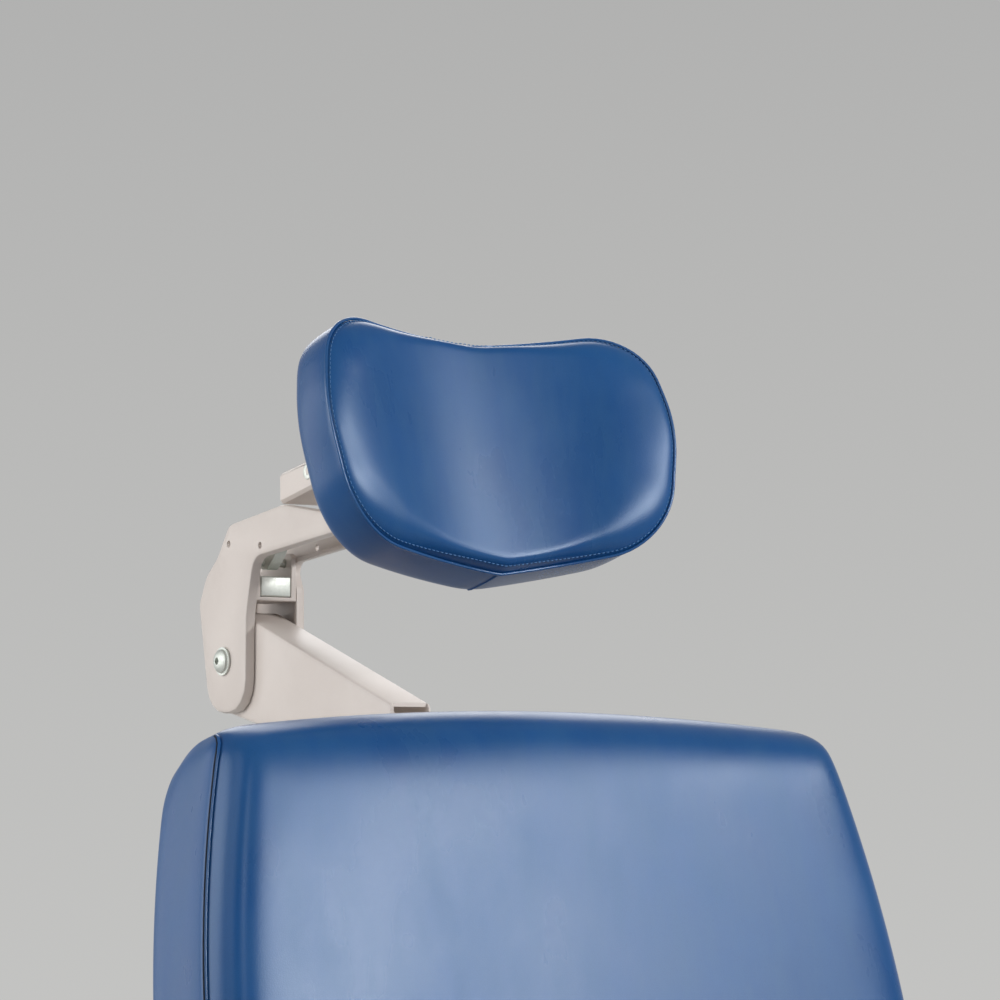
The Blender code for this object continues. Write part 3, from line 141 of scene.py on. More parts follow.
def make_hide():
    """Hide grain: cells a millimetre or two across with creases between them, bent by noise."""
    tree, given, result = new_group("hide grain", ("Height", "Crease"), Scale=700.0, Bend=0.0006)
    wobble = noise(tree, given["Place"], 260.0, 2.0)["Color"]
    shift = add(tree, "VectorMath", {0: wobble, 3: given["Bend"]}, operation="SCALE").outputs[0]
    moved = vectors(tree, "ADD", given["Place"], shift)[0]
    cells = add(tree, "TexVoronoi", {"Vector": moved, "Scale": given["Scale"]}, feature="DISTANCE_TO_EDGE")
    pillow = spread(tree, cells.outputs["Distance"], 0.0, 0.22)
    grit = maths(tree, "MULTIPLY", noise(tree, given["Place"], 2400.0, 2.0)["Fac"], 0.25)
    connect(tree, result, {"Height": maths(tree, "ADD", pillow, grit),
                           "Crease": maths(tree, "SUBTRACT", 1.0, pillow)})
    return tree


def make_spray():
    """Spray texture: the low waves that a sprayed or moulded skin keeps, as noise of two sizes."""
    tree, given, result = new_group("spray texture", ("Height",), Scale=500.0, Grit=0.3)
    waves = noise(tree, given["Place"], given["Scale"], 1.0)["Fac"]
    fine = noise(tree, given["Place"], maths(tree, "MULTIPLY", given["Scale"], 4.0), 1.0)["Fac"]
    small = maths(tree, "MULTIPLY", fine, given["Grit"])
    connect(tree, result, {"Height": maths(tree, "ADD", waves, small)})
    return tree


def make_lines():
    """Rolled lines: noise drawn out along one direction, as rolling, turning or weave leaves it."""
    tree, given, result = new_group("rolled lines", ("Height", "Share"), Stretch=(1.0, 0.04, 1.0),
                                    Scale=900.0)
    drawn = vectors(tree, "MULTIPLY", given["Place"], given["Stretch"])[0]
    lines = noise(tree, drawn, given["Scale"], 3.0, 0.6)["Fac"]
    connect(tree, result, {"Height": lines, "Share": spread(tree, lines, 0.36, 0.66)})
    return tree


def make_wear_and_sheen_edges():
    """Edge mask for wear and painted sheen: the rounded normal parts from the flat one near an edge."""
    tree, given, result = new_group("worn edges", ("Mask",), Patches=60.0)
    soft = add(tree, "Bevel", {"Radius": 0.0012}, samples=4).outputs["Normal"]
    flat = add(tree, "NewGeometry").outputs["True Normal"]
    edge = spread(tree, vectors(tree, "DOT_PRODUCT", soft, flat)["Value"], 0.995, 0.86)
    edge_wear_and_sheen = spread(tree, noise(tree, given["Place"], given["Patches"], 3.0)["Fac"], 0.42, 0.62)
    connect(tree, result, {"Mask": maths(tree, "MULTIPLY", edge, edge_wear_and_sheen)})
    return tree


EFFECTS = {"drift": make_drift(), "hide": make_hide(), "spray": make_spray(), "lines": make_lines(),
           "edges": make_wear_and_sheen_edges()}
print("shared effects:", ", ".join(EFFECTS))

# %% [markdown]
# Starting a finish
#
# Each finish starts the same way: an empty material, one shader, and the object's own coordinates so that
# patterns stay put when a joint moves. Values that are the same all over go straight onto the shader.


# %% Start a finish, place an effect, add relief
def start(name, metallic, specular=0.5):
    """New material: its tree, its shader and its object coordinates."""
    made = bpy.data.materials.new(name)
    made.use_nodes = True
    tree = made.node_tree
    shader = tree.nodes["Principled BSDF"]
    connect(tree, shader, {"Metallic": metallic, "Specular IOR Level": specular})
    return made, tree, shader, add(tree, "TexCoord").outputs["Object"]


def effect(tree, name, place, **values):
    """One shared effect placed in a material."""
    return add(tree, "Group", {"Place": place, **values}, node_tree=EFFECTS[name]).outputs


def relief(tree, shader, height, depth, strength=1.0, soften=0.0):
    """Bump of a given depth in metres; soften rounds the look of sharp edges."""
    bump = add(tree, "Bump", {"Height": height, "Distance": depth, "Strength": strength})
    if soften:
        connect(tree, bump, {"Normal": add(tree, "Bevel", {"Radius": soften}, samples=4).outputs["Normal"]})
    connect(tree, shader, {"Normal": bump.outputs["Normal"]})


print("a finish can use the effects", ", ".join(EFFECTS))

# %% [markdown]
# Blue leatherette
#
# The cushions are covered in a coated fabric: satin blue, printed with a fine hide grain, and rubbed to a
# slightly paler, streaky tone. A plain blue would look like plastic, so two blues drift into each other,
# faint upright streaks run through them, the creases of the grain are painted darker as shade, and the
# gloss varies a little. Where the same vinyl is pulled tight over a cord its grain is stretched flat, so the
# welts are shinier.


# %% Leatherette, thread and the sewn line
def leatherette(name, gloss, shine, grain):
    """Satin blue vinyl from its range of roughness, its reflection and the depth of its grain."""
    made, tree, shader, place = start(name, 0.0, shine)
    clouds = effect(tree, "drift", place, Colour=(0.009, 0.074, 0.240, 1), Second=(0.014, 0.092, 0.280, 1),
                    Scale=9.0)
    streaks = effect(tree, "lines", place, Stretch=(1.0, 1.0, 0.10), Scale=60.0)["Share"]
    streaked = blend_colours(tree, maths(tree, "MULTIPLY", streaks, 0.40), clouds["Colour"],
                             (0.024, 0.104, 0.255, 1))
    hide = effect(tree, "hide", place, Scale=640.0)
    # Painted shade: the creases of the grain are darkened towards a deep blue.
    crease_shade = maths(tree, "MULTIPLY", spread(tree, hide["Crease"], 0.55, 1.0), 0.14)
    colour = blend_colours(tree, crease_shade, streaked, (0.004, 0.030, 0.110, 1))
    uneven = maths(tree, "ADD", clouds["Share"], maths(tree, "MULTIPLY", streaks, 0.3))
    connect(tree, shader, {"Base Color": colour, "Roughness": spread(tree, uneven, 0.0, 1.3, *gloss),
                           "Specular Tint": (0.76, 0.87, 1.0, 1)})
    relief(tree, shader, hide["Height"], grain, 0.6)
    return made


def thread():
    """Pale blue sewing thread with the twist of its plies."""
    made, tree, shader, place = start("pale_blue_thread", 0.0, 0.4)
    plies = effect(tree, "lines", place, Stretch=(1.0, 1.0, 1.0), Scale=1400.0)
    colour = blend_colours(tree, plies["Share"], (0.05, 0.16, 0.38, 1), (0.11, 0.26, 0.50, 1))
    connect(tree, shader, {"Base Color": colour, "Roughness": 0.5})
    relief(tree, shader, plies["Height"], 0.0002)
    return made


def seam_shadow():
    """Near-black blue cord laid beside a seam: painted shade for the groove where two covers are drawn
    together.
    """
    made, tree, shader, place = start("sewn_line", 0.0, 0.2)
    clouds = effect(tree, "drift", place, Colour=(0.002, 0.006, 0.016, 1), Second=(0.004, 0.012, 0.030, 1),
                    Scale=300.0)
    connect(tree, shader, {"Base Color": clouds["Colour"], "Roughness": 0.7})
    return made


# Painted shade for the grooves along the wrapped cushions' side seams.
PAINTED_GROOVE_SHADE = seam_shadow()
LEATHER = leatherette("blue_leatherette", (0.26, 0.33), 0.32, 0.000025)
TIGHT = leatherette("blue_leatherette_tight", (0.17, 0.22), 0.6, 0.00001)
THREAD = thread()
print("made", LEATHER.name, TIGHT.name, THREAD.name, "and", PAINTED_GROOVE_SHADE.name)

# %% [markdown]
# Powder coat, covers and black plastic
#
# The steelwork is powder coated in a warm off-white: slightly waved like orange peel, and a little paler at
# the edges, partly where the coat thins and partly as a painted highlight. The moulded covers and the foot
# plate are a greyer white with a finer, drier texture and the same paler edges. The knob, the pedal, the
# recline lever and the rings and discs at the joints are black plastic that shines a little more where its
# edges are rubbed.


# %% Painted and moulded finishes
def coating(name, shine, clouds, edge_wear_and_sheen, gloss, spray, depth):
    """Paint or moulded plastic: cloudy colour, paler edges (wear and painted highlight), uneven gloss, fine
    texture.

    clouds and spray hold the values of those effects, the third argument the patch scale, amount and colour
    of the paler edges, gloss the range of roughness, and depth the depth, strength and softening of the
    relief.
    """
    made, tree, shader, place = start(name, 0.0, shine)
    drift = effect(tree, "drift", place, **clouds)
    patches, amount, wear_and_sheen_colour = edge_wear_and_sheen
    wear_and_sheen_mask = maths(tree, "MULTIPLY", effect(tree, "edges", place, Patches=patches)["Mask"], amount)
    # Paler edges: partly wear, partly a painted highlight along the edges.
    connect(tree, shader, {"Base Color": blend_colours(tree, wear_and_sheen_mask, drift["Colour"], wear_and_sheen_colour),
                           "Roughness": spread(tree, drift["Share"], 0.0, 1.0, *gloss)})
    relief(tree, shader, effect(tree, "spray", place, **spray)["Height"], *depth)
    return made


def black_plastic():
    """Black plastic, shinier on its edges where handling has smoothed them."""
    made, tree, shader, place = start("black_plastic", 0.0, 0.5)
    clouds = effect(tree, "drift", place, Colour=(0.024, 0.024, 0.026, 1), Second=(0.042, 0.041, 0.042, 1),
                    Scale=20.0)
    wear_and_sheen_mask = effect(tree, "edges", place, Patches=50.0)["Mask"]
    rough = spread(tree, wear_and_sheen_mask, 0.0, 1.0, 0.52, 0.30)
    connect(tree, shader, {"Base Color": clouds["Colour"], "Roughness": rough})
    relief(tree, shader, effect(tree, "spray", place, Scale=900.0, Grit=0.6)["Height"], 0.00012, 0.7, 0.0008)
    return made


PAINT = coating("powder_coat", 0.5, dict(Colour=(0.760, 0.690, 0.640, 1), Second=(0.705, 0.632, 0.585, 1),
                                         Scale=14.0, Amount=0.7),
                (70.0, 0.6, (0.86, 0.82, 0.78, 1)), (0.36, 0.46), dict(Scale=420.0, Grit=0.25),
                (0.00012, 0.5, 0.0008))
COVER = coating("moulded_cover", 0.45, dict(Colour=(0.700, 0.670, 0.630, 1), Second=(0.640, 0.610, 0.570, 1),
                                            Scale=6.0, Amount=0.6),
                (40.0, 0.4, (0.78, 0.76, 0.73, 1)), (0.46, 0.56), dict(Scale=1100.0, Grit=0.5),
                (0.00010, 0.6, 0.0010))
print("made", PAINT.name, "and", COVER.name)

# %% [markdown]
# Metals and boards
#
# The bolts, the lock block and its lever are zinc plated, which gives a cool, faintly greenish and slightly
# cloudy shine. The inner column, swivel plate, guide, tie rod and swivel lever are satin steel with rolling
# lines, and the post and ram are chromed. The boards under the cushions are birch ply, with grain along X.


# %% Metal and board finishes
def plated_metal(name, colour, second, rough, stretch, scale, depth):
    """Bare or plated metal: cloudy colour, uneven gloss and rolling lines."""
    made, tree, shader, place = start(name, 1.0)
    clouds = effect(tree, "drift", place, Colour=(*colour, 1), Second=(*second, 1), Scale=55.0)
    # The edges are blended towards a pale grey.
    bright = maths(tree, "MULTIPLY", effect(tree, "edges", place, Patches=90.0)["Mask"], 0.5)
    shown = blend_colours(tree, bright, clouds["Colour"], (0.88, 0.88, 0.87, 1))
    lines = effect(tree, "lines", place, Stretch=stretch, Scale=scale)
    connect(tree, shader, {"Base Color": shown, "Roughness": spread(tree, lines["Share"], 0.0, 1.0, *rough)})
    relief(tree, shader, lines["Height"], depth, 0.5, 0.0006)
    return made


def birch_ply():
    """Pale wood with drawn-out grain."""
    made, tree, shader, place = start("birch_ply", 0.0, 0.3)
    grain = effect(tree, "lines", place, Stretch=(0.06, 1.0, 1.0), Scale=240.0)
    colour = blend_colours(tree, grain["Share"], (0.44, 0.31, 0.18, 1), (0.30, 0.20, 0.11, 1))
    rough = spread(tree, grain["Share"], 0.0, 1.0, 0.55, 0.72)
    connect(tree, shader, {"Base Color": colour, "Roughness": rough})
    relief(tree, shader, grain["Height"], 0.0002, 0.6)
    return made


FINISH = {
    "leather": LEATHER, "paint": PAINT, "cover": COVER, "black": black_plastic(), "board": birch_ply(),
    "zinc": plated_metal("zinc_plate", (0.68, 0.70, 0.66), (0.60, 0.63, 0.59), (0.48, 0.62),
                         (1.0, 0.5, 1.0), 500.0, 0.00005),
    "steel": plated_metal("satin_steel", (0.56, 0.57, 0.58), (0.48, 0.49, 0.50), (0.26, 0.42),
                          (1.0, 0.04, 1.0), 900.0, 0.00006),
    "chrome": plated_metal("chrome_plate", (0.82, 0.82, 0.82), (0.78, 0.79, 0.80), (0.08, 0.16),
                           (1.0, 1.0, 0.03), 900.0, 0.00002)}
print("finishes:", ", ".join(f"{slot} {made.name}" for slot, made in FINISH.items()))

# %% [markdown]
# Dressing the frame
#
# The frame's meshes are loose triangles with flat shading. Their shapes stay as they are, so the shading is
# mended with modifiers instead: one node tree merges the triangles and shades them smooth except across
# sharp edges, flat faces are joined, and a narrow bevel lets every edge catch the light as a real edge
# does.


# %% Shade the frame by angle, ease its edges and give it its finishes
EASED_EDGE, MERGE_GAP = 0.0006, 1e-5
SHARP_ANGLE, FLAT_ANGLE, EASED_ANGLE = np.radians((35, 0.3, 40))


def shade_by_angle():
    """Geometry nodes that merge loose triangles and shade them smooth except across the sharp angle."""
    tree = bpy.data.node_groups.new("shade by angle", "GeometryNodeTree")
    for direction in ("INPUT", "OUTPUT"):
        tree.interface.new_socket("Geometry", in_out=direction, socket_type="NodeSocketGeometry")
    kinds = ("NodeGroupInput", "GeometryNodeMergeByDistance", "GeometryNodeRemoveAttribute",
             "GeometryNodeSetShadeSmooth", "GeometryNodeSetShadeSmooth", "NodeGroupOutput")
    chain = [tree.nodes.new(kind) for kind in kinds]
    for node, follower in zip(chain, chain[1:]):
        tree.links.new(node.outputs[0], follower.inputs[0])
    merge, plain, faces, edges = chain[1:-1]
    gentle = tree.nodes.new("FunctionNodeCompare")
    faces.domain, edges.domain, gentle.operation = "FACE", "EDGE", "LESS_THAN"
    angle = tree.nodes.new("GeometryNodeInputMeshEdgeAngle").outputs["Unsigned Angle"]
    connect(tree, merge, {"Distance": MERGE_GAP})
    connect(tree, plain, {"Name": "custom_normal"})
    connect(tree, gentle, {0: angle, 1: SHARP_ANGLE})
    connect(tree, edges, {"Shade Smooth": gentle.outputs[0]})
    return tree


SHADING = shade_by_angle()


def dress(piece, finish):
    """Gives a frame piece its finish, smooth shading, joined flat faces and eased edges."""
    for holder in piece.material_slots:
        holder.material = finish
    piece.modifiers.new("shading", "NODES").node_group = SHADING
    joined = piece.modifiers.new("joined", "DECIMATE")
    joined.decimate_type, joined.angle_limit = "DISSOLVE", FLAT_ANGLE
    eased = piece.modifiers.new("eased", "BEVEL")
    eased.width, eased.segments = EASED_EDGE, 2
    eased.limit_method, eased.angle_limit = "ANGLE", EASED_ANGLE


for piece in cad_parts.values():
    dress(piece, FINISH[piece.material_slots[0].material.name.split(".")[0]])
print("dressed", len(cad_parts), "frame pieces")

# %% [markdown]
# Sewing patterns as arrays
#
# A padded piece is a closed skin: a panel at each end and a band of cover between them, sewn together along
# two seams. Each panel is a grid drawn into an outline, and each band is a set of rings that run from one
# seam to the other. Both are whole arrays of points, so a change of one number reshapes the entire cushion.


# %% Outlines, panels and closed skins
ARC_STEPS = 33


def rounded_loop(corners, cells):
    """Closed outline through corners (a, b, radius, mark), each turned into an arc.

    The outline is walked in even steps from the middle of one marked corner to the middle of the next; the
    four walks take cells[0], cells[1], cells[0] and cells[1] steps.
    """
    arcs, marks, total = [], [], 0
    for k, (a, b, radius, mark) in enumerate(corners):
        here = np.array((a, b))
        back, ahead = (np.array(corners[j % len(corners)][:2]) - here for j in (k - 1, k + 1))
        back, ahead = back / np.hypot(*back), ahead / np.hypot(*ahead)
        half = np.arccos(back @ ahead) / 2
        middle = here + (back + ahead) / np.hypot(*(back + ahead)) * radius / np.sin(half)
        first, last = (here + way * radius / np.tan(half) - middle for way in (back, ahead))
        begin = np.arctan2(first[1], first[0])
        sweep = (np.arctan2(last[1], last[0]) - begin + np.pi) % (2 * np.pi) - np.pi
        turn = begin + sweep * np.linspace(0, 1, ARC_STEPS)
        arcs.append(middle + radius * np.stack((np.cos(turn), np.sin(turn)), -1))
        if mark:
            marks.append(total + ARC_STEPS // 2)
        total += ARC_STEPS
    path = np.concatenate(arcs + arcs[:1])
    walked = np.concatenate(([0], np.cumsum(np.hypot(*np.diff(path, axis=0).T))))
    length = walked[total]
    stops = np.append(walked[marks], walked[marks[0]] + length)
    steps = [np.linspace(stops[k], stops[k + 1], cells[k % 2], endpoint=False) for k in range(4)]
    at = np.concatenate(steps) % length
    return np.stack([np.interp(at, walked[:total + 1], path[:total + 1, k]) for k in (0, 1)], -1)


def outward(loop):
    """Unit normals of a closed flat outline that runs anticlockwise, pointing out."""
    along = np.roll(loop, -1, 0) - np.roll(loop, 1, 0)
    along /= np.hypot(*along.T)[:, None]
    return np.stack((along[:, 1], -along[:, 0]), -1)


def panel_grid(cells, crowd=1.6):
    """Ring share and place on the rim for each point of a grid, drawn so that its edge is the panel's rim.

    The ring is the larger of the two distances from the grid's middle; crowd gathers rings near the rim.
    """
    v, u = np.meshgrid(np.linspace(-1, 1, cells[1] + 1), np.linspace(-1, 1, cells[0] + 1), indexing="ij")
    ring = np.maximum(abs(u), abs(v))
    safe = np.where(ring > 0, ring, 1)
    a, b = (u / safe + 1) / 2, (v / safe + 1) / 2
    low, right, high = v <= -ring, u >= ring, v >= ring
    rim = np.where(low, a * cells[0], np.where(right, cells[0] + b * cells[1], np.where(
        high, cells[0] + cells[1] + (1 - a) * cells[0], 2 * cells[0] + cells[1] + (1 - b) * cells[1])))
    return 1 - (1 - ring) ** crowd, rim


def on_rim(loop, rim):
    """Points of a closed loop at fractional places along it."""
    closed = np.concatenate((loop, loop[:1]))
    steps = np.arange(len(closed))
    return np.stack([np.interp(rim, steps, closed[:, k]) for k in range(loop.shape[1])], -1)


def rim_numbers(cells):
    """Point numbers of a panel grid's edge, in the order of its loop."""
    wide, tall = cells[0] + 1, cells[1] + 1
    grid = np.arange(wide * tall).reshape(tall, wide)
    return np.concatenate((grid[0, :-1], grid[:-1, -1], grid[-1, :0:-1], grid[:0:-1, 0]))


def quads(numbers, closed=False):
    """Corner numbers of each cell in a grid of point numbers; closed joins the last column to the first."""
    if closed:
        numbers = np.concatenate((numbers, numbers[:, :1]), 1)
    corners = (numbers[:-1, :-1], numbers[:-1, 1:], numbers[1:, 1:], numbers[1:, :-1])
    return np.stack(corners, -1).reshape(-1, 4)


def numbered(points):
    """Numbers of a grid of points, in the shape of the grid."""
    return np.arange(points.shape[0] * points.shape[1]).reshape(points.shape[:2])


def full_turn(count):
    """Even angles round a full turn."""
    return np.linspace(0, 2 * np.pi, count, endpoint=False)


def into_scene(name, data):
    """New object in the scene."""
    made = bpy.data.objects.new(name, data)
    bpy.context.scene.collection.objects.link(made)
    return made


def new_piece(name, points, faces, finish):
    """Object at the origin from arrays of points and corner numbers, its faces turned outwards."""
    mesh = bpy.data.meshes.new(name)
    mesh.from_pydata(points.reshape(-1, 3).tolist(), [], faces.reshape(-1, 4).tolist())
    work = bmesh.new()
    work.from_mesh(mesh)
    bmesh.ops.remove_doubles(work, verts=work.verts, dist=1e-7)
    bmesh.ops.recalc_face_normals(work, faces=work.faces)
    work.to_mesh(mesh)
    work.free()
    mesh.shade_smooth()
    mesh.materials.append(finish)
    return into_scene(name, mesh)


def skin(name, first, rings, last, cells):
    """Closed skin from a panel grid, the rings between the two rims and a second panel grid.

    Returns the piece and the point numbers of both seams.
    """
    grid, rim = numbered(first), rim_numbers(cells)
    between = grid.size + numbered(rings)
    far = grid.size + between.size
    numbers = np.concatenate((rim[None], between, rim[None] + far))
    faces = np.concatenate((quads(grid), quads(numbers, True), quads(grid + far)))
    points = np.concatenate([part.reshape(-1, 3) for part in (first, rings, last)])
    return new_piece(name, points, faces, LEATHER), rim, rim + far


def placed(points, origin, lean):
    """Points of a leaning part carried into the chair: turned about X by -lean, then moved to its origin."""
    x, y, z = np.moveaxis(points, -1, 0)
    c, s = np.cos(lean), np.sin(lean)
    return np.stack((x + origin[0], origin[1] + y * c + z * s, origin[2] - y * s + z * c), -1)


def roll(distance, radius):
    """Quarter ellipse from 0 at a seam to 1 at a radius from it: how far a stuffed cover has risen."""
    near = 1 - np.clip(distance / radius, 0, 1)
    return np.sqrt(np.maximum(0, 1 - near ** 2))


print("a ring of 8 by 4 cells has", len(rim_numbers((8, 4))), "seam points")

# %% [markdown]
# Stuffing
#
# Foam pushes a cover outwards while its seams and the board behind hold it. A cloth solver does just that
# with a pressure inside a closed skin and the held points pinned. The movement is then evened out over
# neighbouring points and capped: the cloth decides where the cover swells, and the cap keeps its size true.


# %% A cloth step with pressure inside
SWELL_FRAMES, EVEN_ROUNDS = 16, 60
CLOTH = {"quality": 4, "mass": 0.4, "tension_stiffness": 25, "compression_stiffness": 25,
         "shear_stiffness": 12, "bending_stiffness": 2.0, "vertex_group_mass": "held", "use_pressure": True,
         "uniform_pressure_force": 2.0}


def skin_points(piece):
    """Points and outward directions of a skin's own mesh, as arrays."""
    count = len(piece.data.vertices)
    points, normals = np.empty(count * 3), np.empty(count * 3)
    piece.data.vertices.foreach_get("co", points)
    piece.data.vertex_normals.foreach_get("vector", normals)
    return points.reshape(-1, 3), normals.reshape(-1, 3)


def evened(mesh, move, held):
    """Movement evened out: each round every free point goes half way to the mean of its neighbours.

    The cover of firm foam swells without the sharp creases that a thin sheet would show.
    """
    ends = np.empty(len(mesh.edges) * 2, dtype=np.int32)
    mesh.edges.foreach_get("vertices", ends)
    first, second = ends.reshape(-1, 2).T
    count = np.bincount(ends, minlength=len(move))[:, None]
    for _ in range(EVEN_ROUNDS):
        total = np.zeros_like(move)
        np.add.at(total, first, move[second])
        np.add.at(total, second, move[first])
        move = (move + total / count) / 2
        move[held] = 0
    return move


def stuff(piece, held, cap):
    """Swells a closed skin by pressure with the held points pinned; no point moves further than cap."""
    mesh = piece.data
    start_at, _ = skin_points(piece)
    held = np.unique(held)
    pins = piece.vertex_groups.new(name="held")
    pins.add(held.tolist(), 1.0, "REPLACE")
    step = piece.modifiers.new("stuffing", "CLOTH")
    cloth = step.settings
    for key, value in CLOTH.items():
        setattr(cloth, key, value)
    cloth.effector_weights.gravity = 0
    step.collision_settings.use_collision = False
    step.point_cache.frame_start, step.point_cache.frame_end = 1, SWELL_FRAMES
    for number in range(1, SWELL_FRAMES + 1):
        bpy.context.scene.frame_set(number)
    shown = piece.evaluated_get(bpy.context.evaluated_depsgraph_get())
    swollen = np.empty(start_at.size)
    shown.data.vertices.foreach_get("co", swollen)
    piece.modifiers.remove(step)
    piece.vertex_groups.remove(pins)
    bpy.context.scene.frame_set(1)
    move = evened(mesh, swollen.reshape(-1, 3) - start_at, held)
    far = np.linalg.norm(move, axis=1, keepdims=True)
    capped = start_at + move * np.tanh(far / cap) * cap / np.maximum(far, 1e-9)
    mesh.vertices.foreach_set("co", capped.ravel())
    mesh.update()
    print(f"{piece.name}: swelled by up to {far.max() * 1000:.1f} mm, kept to {cap * 1000:.1f} mm")


def sew_on(piece, body, *nodes):
    """Finishes a padded piece: one subdivision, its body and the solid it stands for."""
    smooth = piece.modifiers.new("smooth", "SUBSURF")
    smooth.levels = smooth.render_levels = 1
    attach(piece, body)
    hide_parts(*nodes)
    print(piece.name, "has", len(piece.data.polygons), "faces")


print("covers swell for", SWELL_FRAMES, "steps and are evened out", EVEN_ROUNDS, "times")

# %% [markdown]
# The headrest pad
#
# Seen from the front, the pad is a wide shield with round corners and a slight point in the middle of its
# lower edge. Its sides come forward like wings, so the head lies in a shallow valley. A front panel, a band
# as deep as the foam and a rear panel make it up. The front rises from the seam in a rounded roll, a
# softened quarter ellipse, and then runs level, which is what foam under a tight cover does.

# %% Headrest sizes, outline and surfaces
PAD_ORIGIN, PAD_LEAN = (0.0, 0.3500, 1.24005), np.radians(14.6)
PAD_HALF, PAD_TALL, PAD_DEEP = 0.149, 0.181, 0.045
WING_REACH, WING_SPAN = 0.0345, 0.144
PAD_RISE, ROLL_ENDS, ROLL_SIDES, ROLL_POWER = 0.0134, 0.005, 0.058, 1.4
PAD_CELLS, PAD_CAP = (46, 30), 0.0006
PAD_POINT, SOFT_POINT, TOP_DIP, TOP_RADIUS = 0.015, 0.090, 0.011, 0.100
SEAM_SHARE, REAR_SHARE, SHARP_DEPTH = 0.988, 0.955, 0.030
BAND_SWELL, BAND_DEEP, BAND_TURN = 0.014, 0.043, (0.004, 0.012)

pad_right = [(PAD_HALF * 0.890, 0.0190, 0.060, True), (PAD_HALF, PAD_TALL * 0.585, 0.120, False),
             (PAD_HALF * 0.893, PAD_TALL, 0.046, True)]
pad_left = [(-a, b, radius, mark) for a, b, radius, mark in pad_right[::-1]]


def pad_loop(point):
    """Outline of the pad; the point in the middle of its lower edge has a given radius."""
    lower, upper = (0, 0, point, False), (0, PAD_TALL - TOP_DIP, TOP_RADIUS, False)
    return rounded_loop([pad_left[-1], lower, *pad_right, upper, *pad_left[:-1]], PAD_CELLS)


pad_outline, soft_outline = pad_loop(PAD_POINT), pad_loop(SOFT_POINT)
pad_middle = np.array((0.0, pad_outline[:, 1].mean()))


def wing(x):
    """Forward reach of the pad at a distance from its middle: a parabola."""
    return WING_REACH * (x / WING_SPAN) ** 2


def pad_rise(inside, spoke):
    """Rise of the front at a distance inside the seam: a power of the roll, broad at the sides."""
    sideways = (spoke[..., 0] ** 2 / (spoke ** 2).sum(-1)) ** 2
    return PAD_RISE * roll(inside, ROLL_ENDS + (ROLL_SIDES - ROLL_ENDS) * sideways) ** ROLL_POWER


def pad_panel(outline, share, rise):
    """Panel inside an outline: each ring is the outline drawn towards the middle, set forward by a rise."""
    ring, rim = panel_grid(PAD_CELLS)
    edge = on_rim(outline, rim)
    flat = pad_middle + (edge - pad_middle) * (ring * share)[..., None]
    reach = np.hypot(*np.moveaxis(edge - pad_middle, -1, 0))
    y = -wing(flat[..., 0]) - rise((1 - ring) * reach, edge - pad_middle)
    return np.stack((flat[..., 0], y, flat[..., 1]), -1)


def pad_ring(share, depth):
    """One ring of the band: the outline at a share of its size, a depth behind the seam's surface.

    The sharp point below belongs to the front seam; the outline with a softer point takes over with depth.
    """
    flat = pad_outline + (soft_outline - pad_outline) * min(1.0, depth / SHARP_DEPTH)
    flat = pad_middle + (flat - pad_middle) * share
    return np.stack((flat[:, 0], depth - wing(flat[:, 0]), flat[:, 1]), -1)


deep = np.array((0.0012, 0.003, 0.006, 0.011, 0.017, 0.024, 0.031, 0.037, 0.041, 0.0435))
swell = SEAM_SHARE + BAND_SWELL * np.sin(np.pi * np.clip(deep / BAND_DEEP, 0, 1)) ** 0.5
swell[-2:] -= BAND_TURN
band = np.stack([pad_ring(share, depth) for share, depth in zip(swell, deep)])
front = pad_panel(pad_outline, SEAM_SHARE, pad_rise)
rear = pad_panel(soft_outline, REAR_SHARE, lambda inside, spoke: -PAD_DEEP + 0 * inside)
front, band, rear = (placed(part, PAD_ORIGIN, PAD_LEAN) for part in (front, band, rear))
pad, pad_seam, _ = skin("headrest_pad_cover", front, band, rear, PAD_CELLS)
rear_points = np.arange(len(pad.data.vertices) - rear.shape[0] * rear.shape[1], len(pad.data.vertices))
stuff(pad, np.concatenate((pad_seam, rear_points)), PAD_CAP)
sew_on(pad, "pad", "headrest_pad")

# %% [markdown]
# Seams, welts and stitches
#
# Along the pad's front seam runs a slim welt, and just inside it a row of pale stitches. Both follow the
# same path, so one helper carries a frame of three directions along that path: along it, out of the
# surface, and across. A welt is a circle swept along the path. A stitch is one small bead of thread,
# repeated at even steps.


# %% Sweep a welt and lay stitches
def along_path(path, up, closed):
    """Directions along, up from and across a path, one of each for every point."""
    if closed:
        along = np.roll(path, -1, 0) - np.roll(path, 1, 0)
    else:
        along = np.gradient(path, axis=0)
    along /= np.linalg.norm(along, axis=1, keepdims=True)
    up = up - (up * along).sum(1, keepdims=True) * along
    up /= np.linalg.norm(up, axis=1, keepdims=True)
    return along, up, np.cross(along, up)


def even_steps(path, up, step, closed):
    """The path and its up directions walked again in equal steps of about the given length."""
    if closed:
        path, up = (np.concatenate((part, part[:1])) for part in (path, up))
    walked = np.concatenate(([0], np.cumsum(np.linalg.norm(np.diff(path, axis=0), axis=1))))
    count = max(2, int(round(walked[-1] / step)))
    at = np.linspace(0, walked[-1], count, endpoint=not closed)
    return tuple(np.stack([np.interp(at, walked, part[:, k]) for k in range(3)], -1) for part in (path, up))


def welt(name, path, up, radius, finish, closed=True, sides=8):
    """Round cord along a path; an open one narrows to a point at each end."""
    along, up, across = along_path(path, up, closed)
    turn = full_turn(sides)
    size = np.full(len(path), radius)
    if not closed:
        size *= roll(np.minimum(np.arange(len(path)), np.arange(len(path))[::-1]) / 2.0, 1.0)
    circle = np.cos(turn)[:, None] * up[:, None] + np.sin(turn)[:, None] * across[:, None]
    points = path[:, None] + circle * size[:, None, None]
    numbers = numbered(points)
    if closed:
        numbers = np.concatenate((numbers, numbers[:1]))
    return new_piece(name, points, quads(numbers, True), finish)


